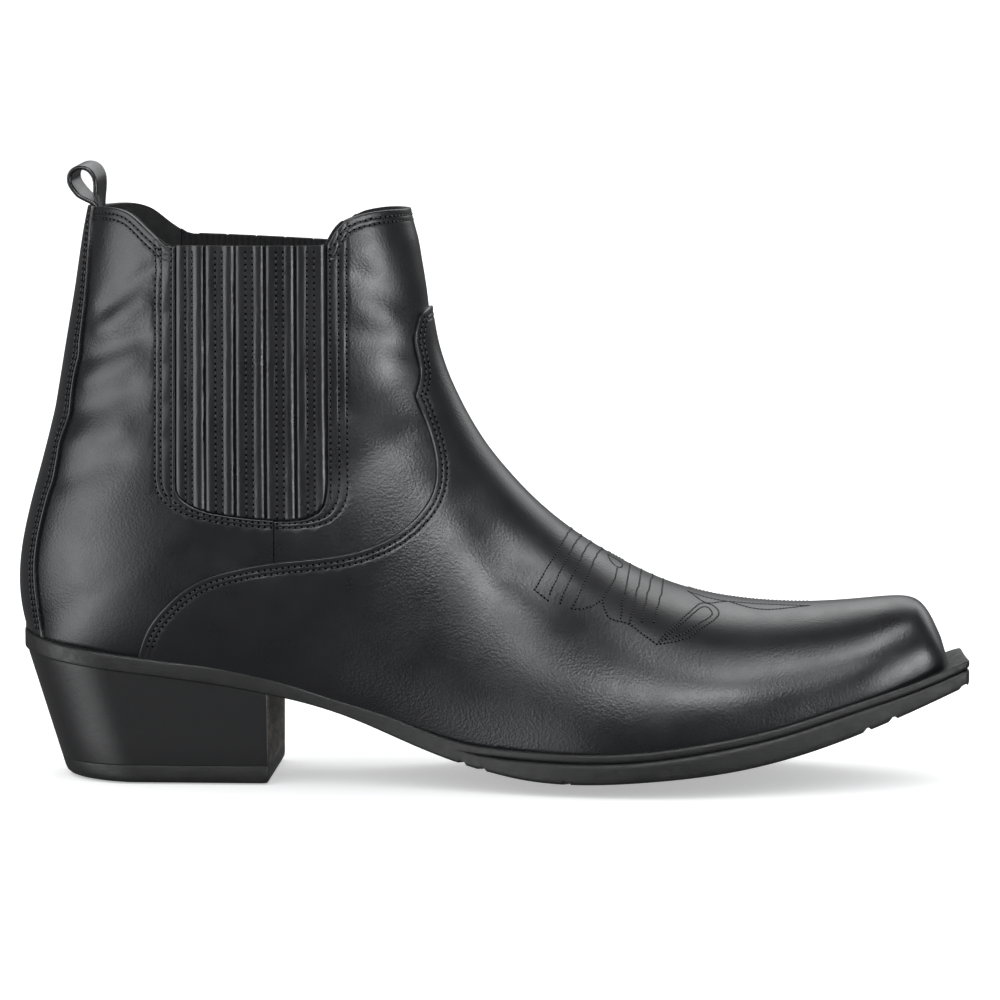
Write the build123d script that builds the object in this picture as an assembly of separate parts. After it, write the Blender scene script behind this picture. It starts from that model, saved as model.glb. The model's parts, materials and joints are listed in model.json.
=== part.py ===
"""Right western ankle boot: pointed snip toe, slanted block heel, elastic gores under leather strips.

Frame: origin on the ground under the heel, +X to the toe, +Y to the wearer's left (the medial side of
this right boot), +Z up. Millimetres.
"""
from build123d import *
import math
import os

import numpy as np

os.makedirs("parts", exist_ok=True)

# Leather and lining thicknesses, from the outside in.
LEATHER = 1.3
LINING = 1.2
GRIP = 1.0
JOIN_GAP = 0.3            # free space between pieces that move apart
CENTRE_GAP = 0.1          # half the butt joint along the back seam

# Sole and heel.
HEEL_RADIUS = 30.0        # plan radius of the heel seat
HEEL_CENTRE_X = -20.5
BREAST_X = 34.0           # front face of the heel
HEEL_FOOT_BACK_X = -36.5
HEEL_FOOT_HALF = 27.0
HEEL_TOP_BACK_X = -50.5
HEEL_TOP_HALF = 29.2
HEEL_TOP_Z = 45.0
TOP_PIECE = 6.0
WELT = 3.0
WELT_BAND = 11.0          # plan width of the welt ring
CROWN = 4.5               # rise of the sole surface 50 mm off its centre line, at the ball
CROWN_AT = 50.0
CROWN_LENGTH = 75.0       # the crown grows from nothing over this length, from the breast forward
WAIST_END_X = 102.0       # the cork filler starts here
TREAD_XS = (100, 107, 116, 127, 138, 149, 160, 171, 182, 193, 204, 215, 226, 233, 240, 258)
TREAD_BAR = (1.8, 52.0, 1.2)          # width, length across the boot, depth
TREAD_OFFSET_Y = 34.0     # middle of a bar from the centre line
TREAD_SPREAD = 8.0        # turn of a bar in plan, degrees
TREAD_RISE = 7.0          # tilt of a bar that follows the crown, degrees
INSOLE = 2.2
SOCK = 1.0
SHANK = (8.0, 100.0, 16.0, 1.2)       # from x, to x, width, thickness
SCREW_X = -12.0
SCREW_RADIUS = 2.2
SCREW_Z = (18.0, 44.4)
NAIL_RADIUS = 0.9
NAIL_TOP_Z = 16.0
NAILS = ((-24.0, 0.0), (-12.0, 17.0), (-12.0, -17.0), (22.0, 17.0), (22.0, -17.0))

# Gore opening, as seen from the side.
GORE_X = (4.4, 54.4)
GORE_BOTTOM_Z = 89.0
GORE_CORNER = 9.0
STRIPS = 5
STRIP_GAP = 0.4
STRIP_DROP = 0.5          # strips end this far below the topline
ELASTIC_MARGIN = 6.0      # how far the elastic reaches under the leather round the gore
SEAM_X = 37.0             # closed seam under the gore
SEAM_FOOT_Z = 68.0
TOPLINE_Z = 179.8         # topline over the gore
VAMP_OVERLAP = 8.0        # how far the shaft panels reach under the vamp
LINING_LAP = 4.0

# Pull loop, a strap bent into a ring that leans backward on the back of the topline.
LOOP_PIVOT = (-27.5, 194.3)
LOOP_RADIUS = 4.2         # inside of the ring
LOOP_FOOT = 1.0           # inside half width between the legs at the pivot
LOOP_REACH = 6.6          # pivot to ring centre
LOOP_LEAN = 14.0
STRAP = (1.5, 11.0)       # thickness, width
STUB = ((-29.0, 191.9), (-24.2, 191.9), (-23.3, 191.3), (-24.05, 188.6), (-24.65, 188.6), (-23.95, 191.3),
        (-29.0, 191.4))   # foot of the strap over the leather edge, joined to its tails
TAIL_FOOT_Z = 168.3       # the tails reach down to here between the leather and the lining
TAIL_FRONT_X = -10.0

# Profile of the sole seen from the side, along its centre line: x, z.
SOLE_TOP = ((-58, 51), (-50, 49), (-27, 44.8), (1, 41.2), (33, 36.3), (54, 29.3), (71, 24.0), (85, 18.5),
            (100, 13.6), (117, 11.2), (137, 10.1), (156, 10.7), (181, 14.4), (201, 19.0), (226, 27.0),
            (250, 35.0), (272, 44.2))
SOLE_BOTTOM = ((-58, 44), (-50, 42.5), (0, 35.6), (34, 30.0), (60, 22.6), (83, 12.8), (98, 7.0), (117, 1.8),
               (135, 0.0), (160, 1.0), (188, 4.8), (214, 11.8), (238, 20.9), (272, 35.6))

# Plan of the outsole: x, y along each side from the heel seat to the toe.
LATERAL_EDGE = ((34, -29), (60, -30), (95, -37), (125, -45.5), (150, -49), (175, -47.5), (200, -40.5),
                (225, -31), (245, -22), (265, -12.5))
MEDIAL_EDGE = ((34, 28), (65, 25), (95, 30), (125, 42), (150, 47.5), (175, 46), (200, 39), (225, 31),
               (245, 25.5), (263.5, 20.5))
LATERAL_ENDS = ((1, 0), (1, 0.45))    # directions of the lateral edge at the heel seat and at the toe
MEDIAL_ENDS = ((1, 0), (1, -0.25))
TOE_FRONT_X = 250.0       # edge points past here also move back when the plan is set in

# Flat cuts through the upper from the toe, along the foot, round the heel and up the shaft. Each is:
# bottom or back point (x, z), top or front point (x, z), y of the ridge, half widths at the sole line
# (lateral, medial), greatest half widths (lateral, medial), height share of the greatest width.
STATIONS = (
    ((257.4, 40.5), (256.8, 44.6), 4.0, (11.0, 10.0), (11.6, 10.6), 0.30),
    ((255.5, 39.5), (254.4, 50.2), 4.0, (14.5, 13.0), (15.3, 13.8), 0.30),
    ((251.0, 37.3), (249.2, 58.2), 4.0, (18.5, 15.8), (19.5, 16.8), 0.28),
    ((243.0, 33.6), (241.0, 60.3), 4.0, (23.0, 18.7), (24.3, 19.9), 0.25),
    ((232.0, 29.5), (229.0, 59.3), 3.8, (28.5, 22.6), (29.9, 23.9), 0.22),
    ((212.0, 22.5), (209.0, 58.1), 3.5, (36.3, 28.6), (37.8, 30.0), 0.20),
    ((188.0, 16.0), (186.0, 59.6), 3.2, (44.3, 36.2), (45.9, 37.7), 0.20),
    ((162.0, 11.5), (166.0, 64.3), 3.0, (48.5, 41.0), (50.2, 42.6), 0.18),
    ((138.0, 10.0), (150.0, 71.7), 2.5, (46.8, 39.3), (49.0, 41.3), 0.20),
    ((112.0, 12.0), (135.0, 80.8), 2.0, (40.5, 31.8), (43.3, 35.5), 0.25),
    ((86.0, 18.3), (121.0, 92.1), 1.5, (33.6, 25.0), (38.8, 32.5), 0.30),
    ((60.0, 27.5), (110.5, 103.3), 1.0, (29.4, 23.2), (36.8, 32.5), 0.35),
    ((34.0, 36.0), (103.7, 112.1), 0.5, (28.4, 26.4), (36.0, 33.5), 0.38),
    ((5.0, 40.8), (98.5, 120.7), 0.0, (28.5, 28.0), (36.2, 34.5), 0.40),
    ((-21.0, 44.0), (95.0, 127.5), 0.0, (28.0, 28.0), (36.5, 35.0), 0.42),
    ((-38.0, 46.2), (92.3, 133.5), 0.0, (22.5, 22.5), (36.8, 35.5), 0.45),
    ((-47.0, 48.0), (90.3, 139.0), 0.0, (12.0, 12.0), (37.0, 36.0), 0.47),
    ((-50.6, 52.0), (88.9, 143.8), 0.0, (3.0, 3.0), (37.0, 36.4), 0.48),
    ((-52.1, 64.0), (87.6, 150.0), 0.0, (3.0, 3.0), (37.0, 36.5), 0.50),
    ((-50.5, 80.0), (86.7, 156.0), 0.0, (3.0, 3.0), (37.0, 36.5), 0.50),
    ((-45.5, 100.0), (86.0, 162.0), 0.0, (3.0, 3.0), (36.8, 36.5), 0.50),
    ((-40.0, 121.0), (85.0, 168.6), 0.0, (3.0, 3.0), (36.5, 36.3), 0.50),
    ((-36.0, 143.0), (84.1, 174.0), 0.0, (3.0, 3.0), (36.3, 36.1), 0.50),
    ((-32.5, 163.0), (83.0, 180.0), 0.0, (3.0, 3.0), (36.1, 36.0), 0.50),
    ((-29.5, 182.0), (81.3, 186.5), 0.0, (3.0, 3.0), (36.0, 36.0), 0.50),
    ((-26.0, 198.0), (79.5, 197.0), 0.0, (3.0, 3.0), (36.0, 36.0), 0.50),
)
HEEL_BACK_STATION = 17    # first cut that ends on the back of the boot and not on the sole
SINK = 3.0                # the cuts reach this far into the sole, where they are trimmed
SIDE_POWER = 2.2          # squareness of a cut below its widest point
CROWN_POWER = 2.1         # squareness of a cut above its widest point
POINTS_PER_ARC = 6
MIN_FOOT = 3.0            # half width that is left where a cut ends on the back of the boot
TOE_WALL_X = 225.0        # from here forward each layer also sets in from the toe's front

# Seams as seen from the side: x, z.
VAMP_TONGUE = ((95, 165), (83.6, 154.0))
VAMP_THROAT = ((83.6, 154.0), (82.3, 147.0), (83.9, 136.0), (82.4, 128.5))
VAMP_SIDE = ((82.4, 128.5), (85.7, 120.3), (89.2, 108.0), (88.6, 98.0), (83.5, 89.8), (75.0, 83.0),
             (62.0, 78.0), (42.0, 75.3), (22.2, 71.9), (10.0, 67.3), (1.5, 60.3), (-4.4, 53.2), (-9.5, 40.0))
STAY_EDGE = ((-25.8, 197.0), (-26.9, 163.6), (-32.1, 127.5), (-39.4, 96.8), (-44.7, 70.0), (-43.9, 58.2),
             (-41.5, 40.0))
BACK_TOPLINE = ((-27.0, 190.2), (-12.0, 188.4), (-6.5, 184.2), (1.2, TOPLINE_Z))
FRONT_TOPLINE = ((54.5, TOPLINE_Z), (60.0, 185.6), (65.0, 187.8), (84.0, 189.6))
COUNTER_TOP = ((-60, 98), (-30, 95), (0, 82), (20, 62), (24, 30))
GRIP_TOP = ((-60, 106), (-28, 103), (6, 88), (28, 66), (33, 30))
PUFF_X = 205.0
SIDE_VIEW = (-100.0, 300.0, -60.0, 230.0)     # x0, x1, z0, z1 of a region larger than the boot
FAR = 400.0


def smooth(points, x):
    """Height at x on the natural cubic spline through the points."""
    xs = np.array([p[0] for p in points], float)
    ys = np.array([p[1] for p in points], float)
    h = np.diff(xs)
    slopes = np.diff(ys) / h
    n = len(xs)
    matrix = np.eye(n)
    right = np.zeros(n)
    for i in range(1, n - 1):
        matrix[i, i - 1:i + 2] = h[i - 1], 2 * (h[i - 1] + h[i]), h[i]
        right[i] = 6 * (slopes[i] - slopes[i - 1])
    bend = np.linalg.solve(matrix, right)
    i = int(np.clip(np.searchsorted(xs, x) - 1, 0, n - 2))
    a = (xs[i + 1] - x) / h[i]
    b = (x - xs[i]) / h[i]
    curve = ((a ** 3 - a) * bend[i] + (b ** 3 - b) * bend[i + 1]) * h[i] ** 2 / 6
    return float(a * ys[i] + b * ys[i + 1] + curve)


def crown_at(x):
    """The sole is flat across at the heel and crowned from the waist forward."""
    share = min(max((x - BREAST_X) / CROWN_LENGTH, 0.0), 1.0)
    return CROWN * share


def save(name, shape):
    """Write one sub-part, its solids as one group."""
    solids = list(shape.solids())
    export_step(solids[0] if len(solids) == 1 else Compound(children=solids), f"parts/{name}.step")


# ---- the upper: one family of cuts, set in by the depth of each layer ----

def half_cut(length, foot, widest, share):
    """Points (height, half width) of one side of a cut, from the sole line to the ridge."""
    start = math.acos(min((foot / widest) ** (SIDE_POWER / 2), 1.0))
    points = []
    for k in range(POINTS_PER_ARC):
        angle = start * (1 - k / POINTS_PER_ARC)
        rise = (math.sin(angle) / math.sin(start)) ** (2 / SIDE_POWER)
        points.append((length * share * (1 - rise), widest * math.cos(angle) ** (2 / SIDE_POWER)))
    for k in range(POINTS_PER_ARC + 1):
        angle = math.pi / 2 * k / POINTS_PER_ARC
        rise = math.sin(angle) ** (2 / CROWN_POWER)
        width = widest * max(math.cos(angle), 0.0) ** (2 / CROWN_POWER)
        points.append((length * (share + (1 - share) * rise), width))
    return points


def upper_cut(index, depth):
    """Closed wire of one cut through the upper, every wall set in by depth."""
    (bx, bz), (tx, tz), ridge_y, feet, widest, share = STATIONS[index]
    on_sole = index < HEEL_BACK_STATION
    if on_sole:
        bz -= SINK
    toe_share = min(max((tx - TOE_WALL_X) / (STATIONS[0][1][0] - TOE_WALL_X), 0.0), 1.0)
    bx -= depth * toe_share
    tx -= depth * toe_share
    full = math.hypot(tx - bx, tz - bz)
    step_x = (tx - bx) / full
    step_z = (tz - bz) / full
    start = 0.0 if on_sole else depth
    length = full - depth - start
    sides = []
    for side in (0, 1):
        foot = max(feet[side] - depth, MIN_FOOT)
        height = (share * full - start) / length
        sides.append([(start + u, w) for u, w in half_cut(length, foot, widest[side] - depth, height)])
    lateral = [(bx + u * step_x, ridge_y - w, bz + u * step_z) for u, w in sides[0]]
    medial = [(bx + u * step_x, ridge_y + w, bz + u * step_z) for u, w in sides[1]]
    arch = lateral + medial[-2::-1]
    evenly = [k / (len(arch) - 1) for k in range(len(arch))]
    crown = Edge.make_spline(arch, parameters=evenly)
    return Wire([crown, Line(arch[-1], arch[0])])


def upper_body(depth):
    """Closed solid inside the upper's outer surface, set in by depth."""
    return Solid.make_loft([upper_cut(i, depth) for i in range(len(STATIONS))])


# ---- side-view regions ----

def outline(*chains):
    """Closed outline: chains of points, smooth where a chain has more than two, joined by lines."""
    edges = []
    for chain in chains:
        edges.append(Spline(*chain) if len(chain) > 2 else Line(*chain))
    for k, chain in enumerate(chains):
        after = chains[(k + 1) % len(chains)]
        if math.dist(chain[-1], after[0]) > 1e-6:
            edges.append(Line(chain[-1], after[0]))
    return make_face(edges)


def prism(face, side=0):
    """Extrude a side-view face across the boot, or over its lateral (-1) or medial (1) half."""
    if side:
        return extrude(Plane.XZ.offset(-side * CENTRE_GAP) * face, amount=-side * FAR / 4)
    return extrude(Plane.XZ * face, amount=FAR / 4, both=True)


def shifted(points, distance):
    """The chain of points moved sideways, to the left of its direction."""
    moved = []
    for k, (x, z) in enumerate(points):
        before = points[max(k - 1, 0)]
        after = points[min(k + 1, len(points) - 1)]
        scale = distance / math.dist(before, after)
        moved.append((x - scale * (after[1] - before[1]), z + scale * (after[0] - before[0])))
    return moved


def vamp_face(inset=0.0):
    """The vamp from the side; an inset one is smooth past the cusp of the throat."""
    seam = (VAMP_TONGUE, VAMP_THROAT, VAMP_SIDE)
    if inset:
        seam = (shifted(VAMP_TONGUE[:1] + VAMP_THROAT[:-1] + VAMP_SIDE, inset),)
    foot = (seam[-1][-1][0], -FAR / 4)
    return outline(*seam, (foot, (FAR, -FAR / 4)), ((FAR, 165), seam[0][0]))


def below_topline_face():
    return outline(((-90, 191), (-27.0, 190.2)), BACK_TOPLINE, FRONT_TOPLINE, ((84.0, 189.6), (FAR, 190)),
                   ((FAR, -90), (-90, -90)))


def gore_face(margin=0.0):
    """The U-shaped gore opening, open to the topline."""
    low = GORE_BOTTOM_Z - margin
    width = GORE_X[1] - GORE_X[0] + 2 * margin
    height = 200.0 - low
    middle = (GORE_X[0] + GORE_X[1]) / 2
    body = Pos(middle, low + height / 2) * Rectangle(width, height)
    lowest = body.vertices().sort_by(Axis.Y)[:2]
    return fillet(lowest, GORE_CORNER + margin)


def box_face(x0, x1, z0, z1):
    return Pos((x0 + x1) / 2, (z0 + z1) / 2) * Rectangle(x1 - x0, z1 - z0)


# ---- the sole: plan outline and crowned slabs ----

def sole_plan(inset=0.0):
    """Plan of the sole: round heel seat, a spline along each side, straight toe."""
    radius = HEEL_RADIUS - inset
    seat = ThreePointArc((HEEL_CENTRE_X, radius), (HEEL_CENTRE_X - radius, 0), (HEEL_CENTRE_X, -radius))
    lateral_points = [(x - inset * (x > TOE_FRONT_X), y + inset) for x, y in LATERAL_EDGE]
    medial_points = [(x - inset * (x > TOE_FRONT_X), y - inset) for x, y in MEDIAL_EDGE]
    lateral = Spline((HEEL_CENTRE_X, -radius), *lateral_points, tangents=LATERAL_ENDS)
    medial = Spline((HEEL_CENTRE_X, radius), *medial_points, tangents=MEDIAL_ENDS)
    toe = Line(lateral_points[-1], medial_points[-1])
    return make_face([seat, lateral, medial, toe])


def slab(low, low_shift, high, high_shift):
    """Crowned slab between two sole profiles, wider than the boot."""
    half = 1.4 * CROWN_AT
    sections = []
    for x in np.linspace(-57.0, 271.0, 16):
        rise = crown_at(x) * (half / CROWN_AT) ** 2
        z0 = smooth(low, x) + low_shift
        z1 = smooth(high, x) + high_shift
        top = Spline((x, -half, z1 + rise), (x, 0, z1), (x, half, z1 + rise))
        bottom = Spline((x, half, z0 + rise), (x, 0, z0), (x, -half, z0 + rise))
        sections.append(Wire([top, Line(top @ 1, bottom @ 0), bottom, Line(bottom @ 1, top @ 0)]))
    return Solid.make_loft(sections)


def column(face, z0=-5.0, z1=80.0):
    """Vertical prism over a plan face."""
    return extrude(Pos(0, 0, z0) * face, amount=z1 - z0)


def heel_cut(z, back_x, half):
    """D-shaped plan of the heel at one height."""
    arc = ThreePointArc((back_x + half, half), (back_x, 0), (back_x + half, -half))
    sides = Polyline((back_x + half, -half), (BREAST_X, -half), (BREAST_X, half), (back_x + half, half))
    return Pos(0, 0, z) * make_face([arc, sides])


def heel_stack():
    low = heel_cut(0, HEEL_FOOT_BACK_X, HEEL_FOOT_HALF)
    high = heel_cut(HEEL_TOP_Z, HEEL_TOP_BACK_X, HEEL_TOP_HALF)
    return loft([low, high])


def nails():
    return [Pos(x, y, NAIL_TOP_Z / 2 + 0.25) * Cylinder(NAIL_RADIUS, NAIL_TOP_Z - 0.5) for x, y in NAILS]


def heel_screw():
    height = SCREW_Z[1] - SCREW_Z[0]
    return Pos(SCREW_X, 0, SCREW_Z[0] + height / 2) * Cylinder(SCREW_RADIUS, height)


def tread_grooves():
    """Shallow cross grooves in the forefoot and at the toe, open at the sole's edge."""
    width, length, depth = TREAD_BAR
    bar = Box(width, length, 2 * depth)
    grooves = []
    for x in TREAD_XS:
        z = smooth(SOLE_BOTTOM, x)
        tilt = math.degrees(math.atan(smooth(SOLE_BOTTOM, x + 1) - z))
        lift = crown_at(x) * (TREAD_OFFSET_Y / CROWN_AT) ** 2 * 0.75
        for side in (-1, 1):
            turn = Rot(side * TREAD_RISE, -tilt, side * TREAD_SPREAD)
            grooves.append(Pos(x, side * TREAD_OFFSET_Y, z + lift) * turn * bar)
    return grooves


def build_sole():
    """Welt ring, fillers, shank, outsole, heel and their fasteners."""
    plan = sole_plan()
    core = sole_plan(WELT_BAND)
    welt_slab = slab(SOLE_TOP, -WELT, SOLE_TOP, 0)
    welt_layer = welt_slab & column(plan)
    inner = welt_slab & column(core)
    save("welt", welt_layer - column(core))

    screw = heel_screw()
    save("heel_screw", screw)
    x0, x1, width, thickness = SHANK
    strip = column(Pos((x0 + x1) / 2, 0) * Rectangle(x1 - x0, width))
    shank = slab(SOLE_TOP, -thickness, SOLE_TOP, 0) & strip
    save("shank", shank)
    back_part = Pos(WAIST_END_X - FAR / 2, 0, 0) * Box(FAR, FAR, FAR)
    front_part = Pos(WAIST_END_X + FAR / 2, 0, 0) * Box(FAR, FAR, FAR)
    save("shank_filler", (inner & back_part) - shank - screw)
    save("forefoot_filler", inner & front_part)

    outsole = slab(SOLE_BOTTOM, 0, SOLE_TOP, -WELT) & column(plan)
    save("outsole", outsole - tread_grooves() - screw)

    stack = heel_stack() - slab(SOLE_BOTTOM, 0, SOLE_TOP, FAR / 4)
    ground_slice = Pos(0, 0, TOP_PIECE / 2) * Box(FAR, FAR, TOP_PIECE)
    pins = nails()
    save("heel_top_piece", (stack & ground_slice) - pins)
    save("heel_block", stack - ground_slice - pins - screw)
    save("heel_nails", Compound(children=pins))


def build_insoles(inner_body, grip):
    """Insole board and sock lining on the floor of the foot cavity."""
    board = (inner_body & slab(SOLE_TOP, 0, SOLE_TOP, INSOLE)) - heel_screw()
    sock = inner_body & slab(SOLE_TOP, INSOLE, SOLE_TOP, INSOLE + SOCK)
    save("insole_board", board - grip)
    save("sock_lining", sock - grip)


def strip_faces():
    """The five upright strips that cover a gore."""
    pitch = (GORE_X[1] - GORE_X[0]) / STRIPS
    faces = []
    for k in range(STRIPS):
        left = GORE_X[0] + k * pitch + STRIP_GAP / 2
        upright = box_face(left, left + pitch - STRIP_GAP, SEAM_FOOT_Z, TOPLINE_Z - STRIP_DROP)
        faces.append(upright & gore_face(-STRIP_GAP / 2))
    return faces


def upper_layers():
    """Outer, middle, lining and heel grip layers, trimmed to the topline and the sole."""
    depths = (0, LEATHER, 2 * LEATHER, 2 * LEATHER + LINING, 2 * LEATHER + LINING + GRIP)
    bodies = [upper_body(depth) for depth in depths]
    trim = prism(below_topline_face()) - slab(SOLE_TOP, -70, SOLE_TOP, 0)
    layers = [(bodies[i] & trim) - bodies[i + 1] for i in range(len(depths) - 1)]
    return layers, bodies[3]


def build_upper():
    """Vamp, back stay, shaft panels, gores, stiffeners and linings."""
    (outer, middle, inner, innermost), inner_body = upper_layers()
    everything = box_face(*SIDE_VIEW)
    vamp = vamp_face()
    stay = outline(STAY_EDGE, ((-90, 40), (-90, 197)))
    save("vamp", outer & prism(vamp))
    save("back_stay", outer & prism(stay - vamp))

    above_overlap = everything - vamp_face(VAMP_OVERLAP)
    x0, x1, z0, z1 = SIDE_VIEW
    back_half = box_face(x0, SEAM_X - JOIN_GAP, z0, z1)
    front_half = box_face(SEAM_X, x1, SEAM_FOOT_Z, z1)
    save("shaft_front", middle & prism((above_overlap & front_half) - gore_face(JOIN_GAP)))
    quarter = (above_overlap & back_half) - gore_face()
    lap = vamp_face(LINING_LAP)
    counter = outline(COUNTER_TOP, ((24, -40), (-60, -40)))
    elastic = gore_face(ELASTIC_MARGIN)
    tail = box_face(x0, TAIL_FRONT_X, TAIL_FOOT_Z, z1)
    tails = (inner & prism(tail)) & Box(FAR, STRAP[1], FAR)
    stub = extrude(Plane.XZ * make_face(Polyline(*STUB, close=True)), amount=STRAP[1] / 2, both=True)
    save("pull_loop_tails", tails + stub)
    back_lining = ((everything - lap) & back_half) - elastic - counter
    for side, name in ((-1, "lateral"), (1, "medial")):
        save(f"quarter_{name}", middle & prism(quarter, side))
        save(f"quarter_lining_{name}", (inner & prism(back_lining, side)) - tails)
        save(f"gore_elastic_{name}", inner & prism(elastic & box_face(-90, 90, 0, TOPLINE_Z - 0.3), side))
        for k, face in enumerate(strip_faces()):
            save(f"gore_strip_{name}_{k + 1}", middle & prism(face, side))
    front_lining = ((everything - lap) & front_half) - gore_face(ELASTIC_MARGIN + JOIN_GAP)
    save("front_lining", inner & prism(front_lining))
    save("vamp_lining", inner & prism(vamp_face(LINING_LAP + JOIN_GAP) - counter))
    save("heel_counter", inner & prism(counter))
    grip = innermost & prism(outline(GRIP_TOP, ((33, -40), (-60, -40))))
    save("heel_grip", grip)
    save("toe_puff", middle & prism(box_face(PUFF_X, x1, z0, z1)))
    doubler = vamp_face(VAMP_OVERLAP + JOIN_GAP) & box_face(x0, PUFF_X - JOIN_GAP, z0, z1)
    save("vamp_doubler", middle & prism(doubler))
    build_insoles(inner_body, grip)


# ---- pull loop ----

def teardrop(grow):
    """Outline round the ring and the pivot, grown by the strap's thickness or by nothing."""
    lean = math.radians(LOOP_LEAN)
    ring = Pos(-LOOP_REACH * math.sin(lean), LOOP_REACH * math.cos(lean)) * Circle(LOOP_RADIUS + grow)
    foot = Circle(LOOP_FOOT + grow)
    return make_hull((ring + foot).edges())


def build_pull_loop():
    """The strap bent into a ring: two legs that meet over the topline."""
    thickness, width = STRAP
    ring = teardrop(thickness) - teardrop(0) - Pos(0, -10) * Rectangle(20, 20)
    strap = extrude(Plane.XZ * ring, amount=width / 2, both=True)
    save("pull_loop", Pos(LOOP_PIVOT[0], 0, LOOP_PIVOT[1]) * strap)


build_sole()
build_upper()
build_pull_loop()
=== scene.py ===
import json
import math

import bmesh
import bpy
import numpy as np
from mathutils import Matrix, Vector

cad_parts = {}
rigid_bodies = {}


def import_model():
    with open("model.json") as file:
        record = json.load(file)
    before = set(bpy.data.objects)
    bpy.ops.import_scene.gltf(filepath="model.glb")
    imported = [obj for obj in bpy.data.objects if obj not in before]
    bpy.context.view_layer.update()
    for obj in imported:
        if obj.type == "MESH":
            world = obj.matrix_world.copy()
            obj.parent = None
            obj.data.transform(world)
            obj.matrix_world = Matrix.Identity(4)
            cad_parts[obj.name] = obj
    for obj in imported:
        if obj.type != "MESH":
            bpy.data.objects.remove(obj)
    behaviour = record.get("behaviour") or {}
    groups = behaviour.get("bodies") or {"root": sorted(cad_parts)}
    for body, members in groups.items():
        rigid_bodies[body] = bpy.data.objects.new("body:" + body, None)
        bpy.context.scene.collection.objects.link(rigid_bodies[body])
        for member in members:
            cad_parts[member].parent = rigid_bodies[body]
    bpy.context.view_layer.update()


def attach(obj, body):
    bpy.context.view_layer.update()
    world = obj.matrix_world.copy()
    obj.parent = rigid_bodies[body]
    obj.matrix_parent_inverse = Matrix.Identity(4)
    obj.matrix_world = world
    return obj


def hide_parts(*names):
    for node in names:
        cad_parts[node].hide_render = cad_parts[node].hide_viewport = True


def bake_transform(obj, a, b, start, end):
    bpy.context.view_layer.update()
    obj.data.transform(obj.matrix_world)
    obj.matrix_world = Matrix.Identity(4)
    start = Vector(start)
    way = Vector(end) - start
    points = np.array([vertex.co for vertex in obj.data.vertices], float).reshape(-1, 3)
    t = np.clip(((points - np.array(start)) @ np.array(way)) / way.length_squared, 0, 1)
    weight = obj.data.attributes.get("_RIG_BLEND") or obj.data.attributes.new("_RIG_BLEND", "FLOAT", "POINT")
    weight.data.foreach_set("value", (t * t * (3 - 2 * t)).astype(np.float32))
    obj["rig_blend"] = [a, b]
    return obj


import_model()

# Driving dimensions, in millimetres as in the CAD source. Every mesh is written in metres by MM.
MM = 0.001
LEATHER = 1.3                      # thickness of the upper's leather
LINING = 1.2                       # thickness of the lining
JOIN_GAP = 0.3                     # between pieces that meet edge to edge
HEEL_RADIUS = 30.0
HEEL_CENTRE_X = -20.5
BREAST_X = 34.0
HEEL_FOOT = (-36.5, 27.0)          # back x and half width of the heel on the ground
HEEL_TOP = (-50.5, 29.2)           # the same at HEEL_TOP_Z
HEEL_TOP_Z = 45.0
TOP_PIECE = 6.0
WELT = 3.0
CROWN = 4.5
CROWN_AT = 50.0
CROWN_LENGTH = 75.0                # the crown grows over this length from the heel breast
PUFF_X = 205.0
GORE_X = (4.4, 54.4)
STRIPS = 5
STRIP_GAP = 0.4
STRIP_PROUD = 0.5                  # how far the strips stand above the topline beside them
ELASTIC_PROUD = 0.3                # the same for the elastic behind them
ELASTIC_MARGIN = 6.0
SEAM_X = 37.0                      # closed seam under the gore
SEAM_FOOT_Z = 68.0
SOLE_TUCK = 1.2                    # how far the upper's pieces run down behind the sole's top edge
TOPLINE_Z = 177.6                  # lateral side, beside the gore
MEDIAL_TOPLINE_Z = (179.0, 176.6)  # back and front of the medial gore
VAMP_OVERLAP = 8.0
LINING_LAP = 4.0
STRAP = (1.5, 11.0)                # thickness and width of the pull loop

SOLE_TOP = ((-58, 51), (-50, 49), (-27, 44.8), (1, 41.2), (33, 36.3), (54, 29.3), (71, 24.0), (85, 18.5),
            (100, 13.6), (117, 11.2), (137, 10.1), (156, 10.7), (181, 14.4), (201, 19.0), (226, 27.0),
            (250, 35.0), (272, 44.2))
SOLE_BOTTOM = ((-58, 44), (-50, 42.5), (0, 35.6), (34, 30.0), (60, 22.6), (83, 12.8), (98, 7.0), (117, 1.8),
               (135, 0.0), (160, 1.0), (188, 4.8), (214, 11.8), (238, 20.9), (272, 35.6))
LATERAL_EDGE = ((34, -29), (60, -30), (95, -37), (125, -45.5), (150, -49), (175, -47.5), (200, -40.5),
                (225, -31), (245, -22), (265, -12.5))
MEDIAL_EDGE = ((34, 28), (65, 25), (95, 30), (125, 42), (150, 47.5), (175, 46), (200, 39), (225, 31),
               (245, 25.5), (263.5, 20.5))

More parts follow.
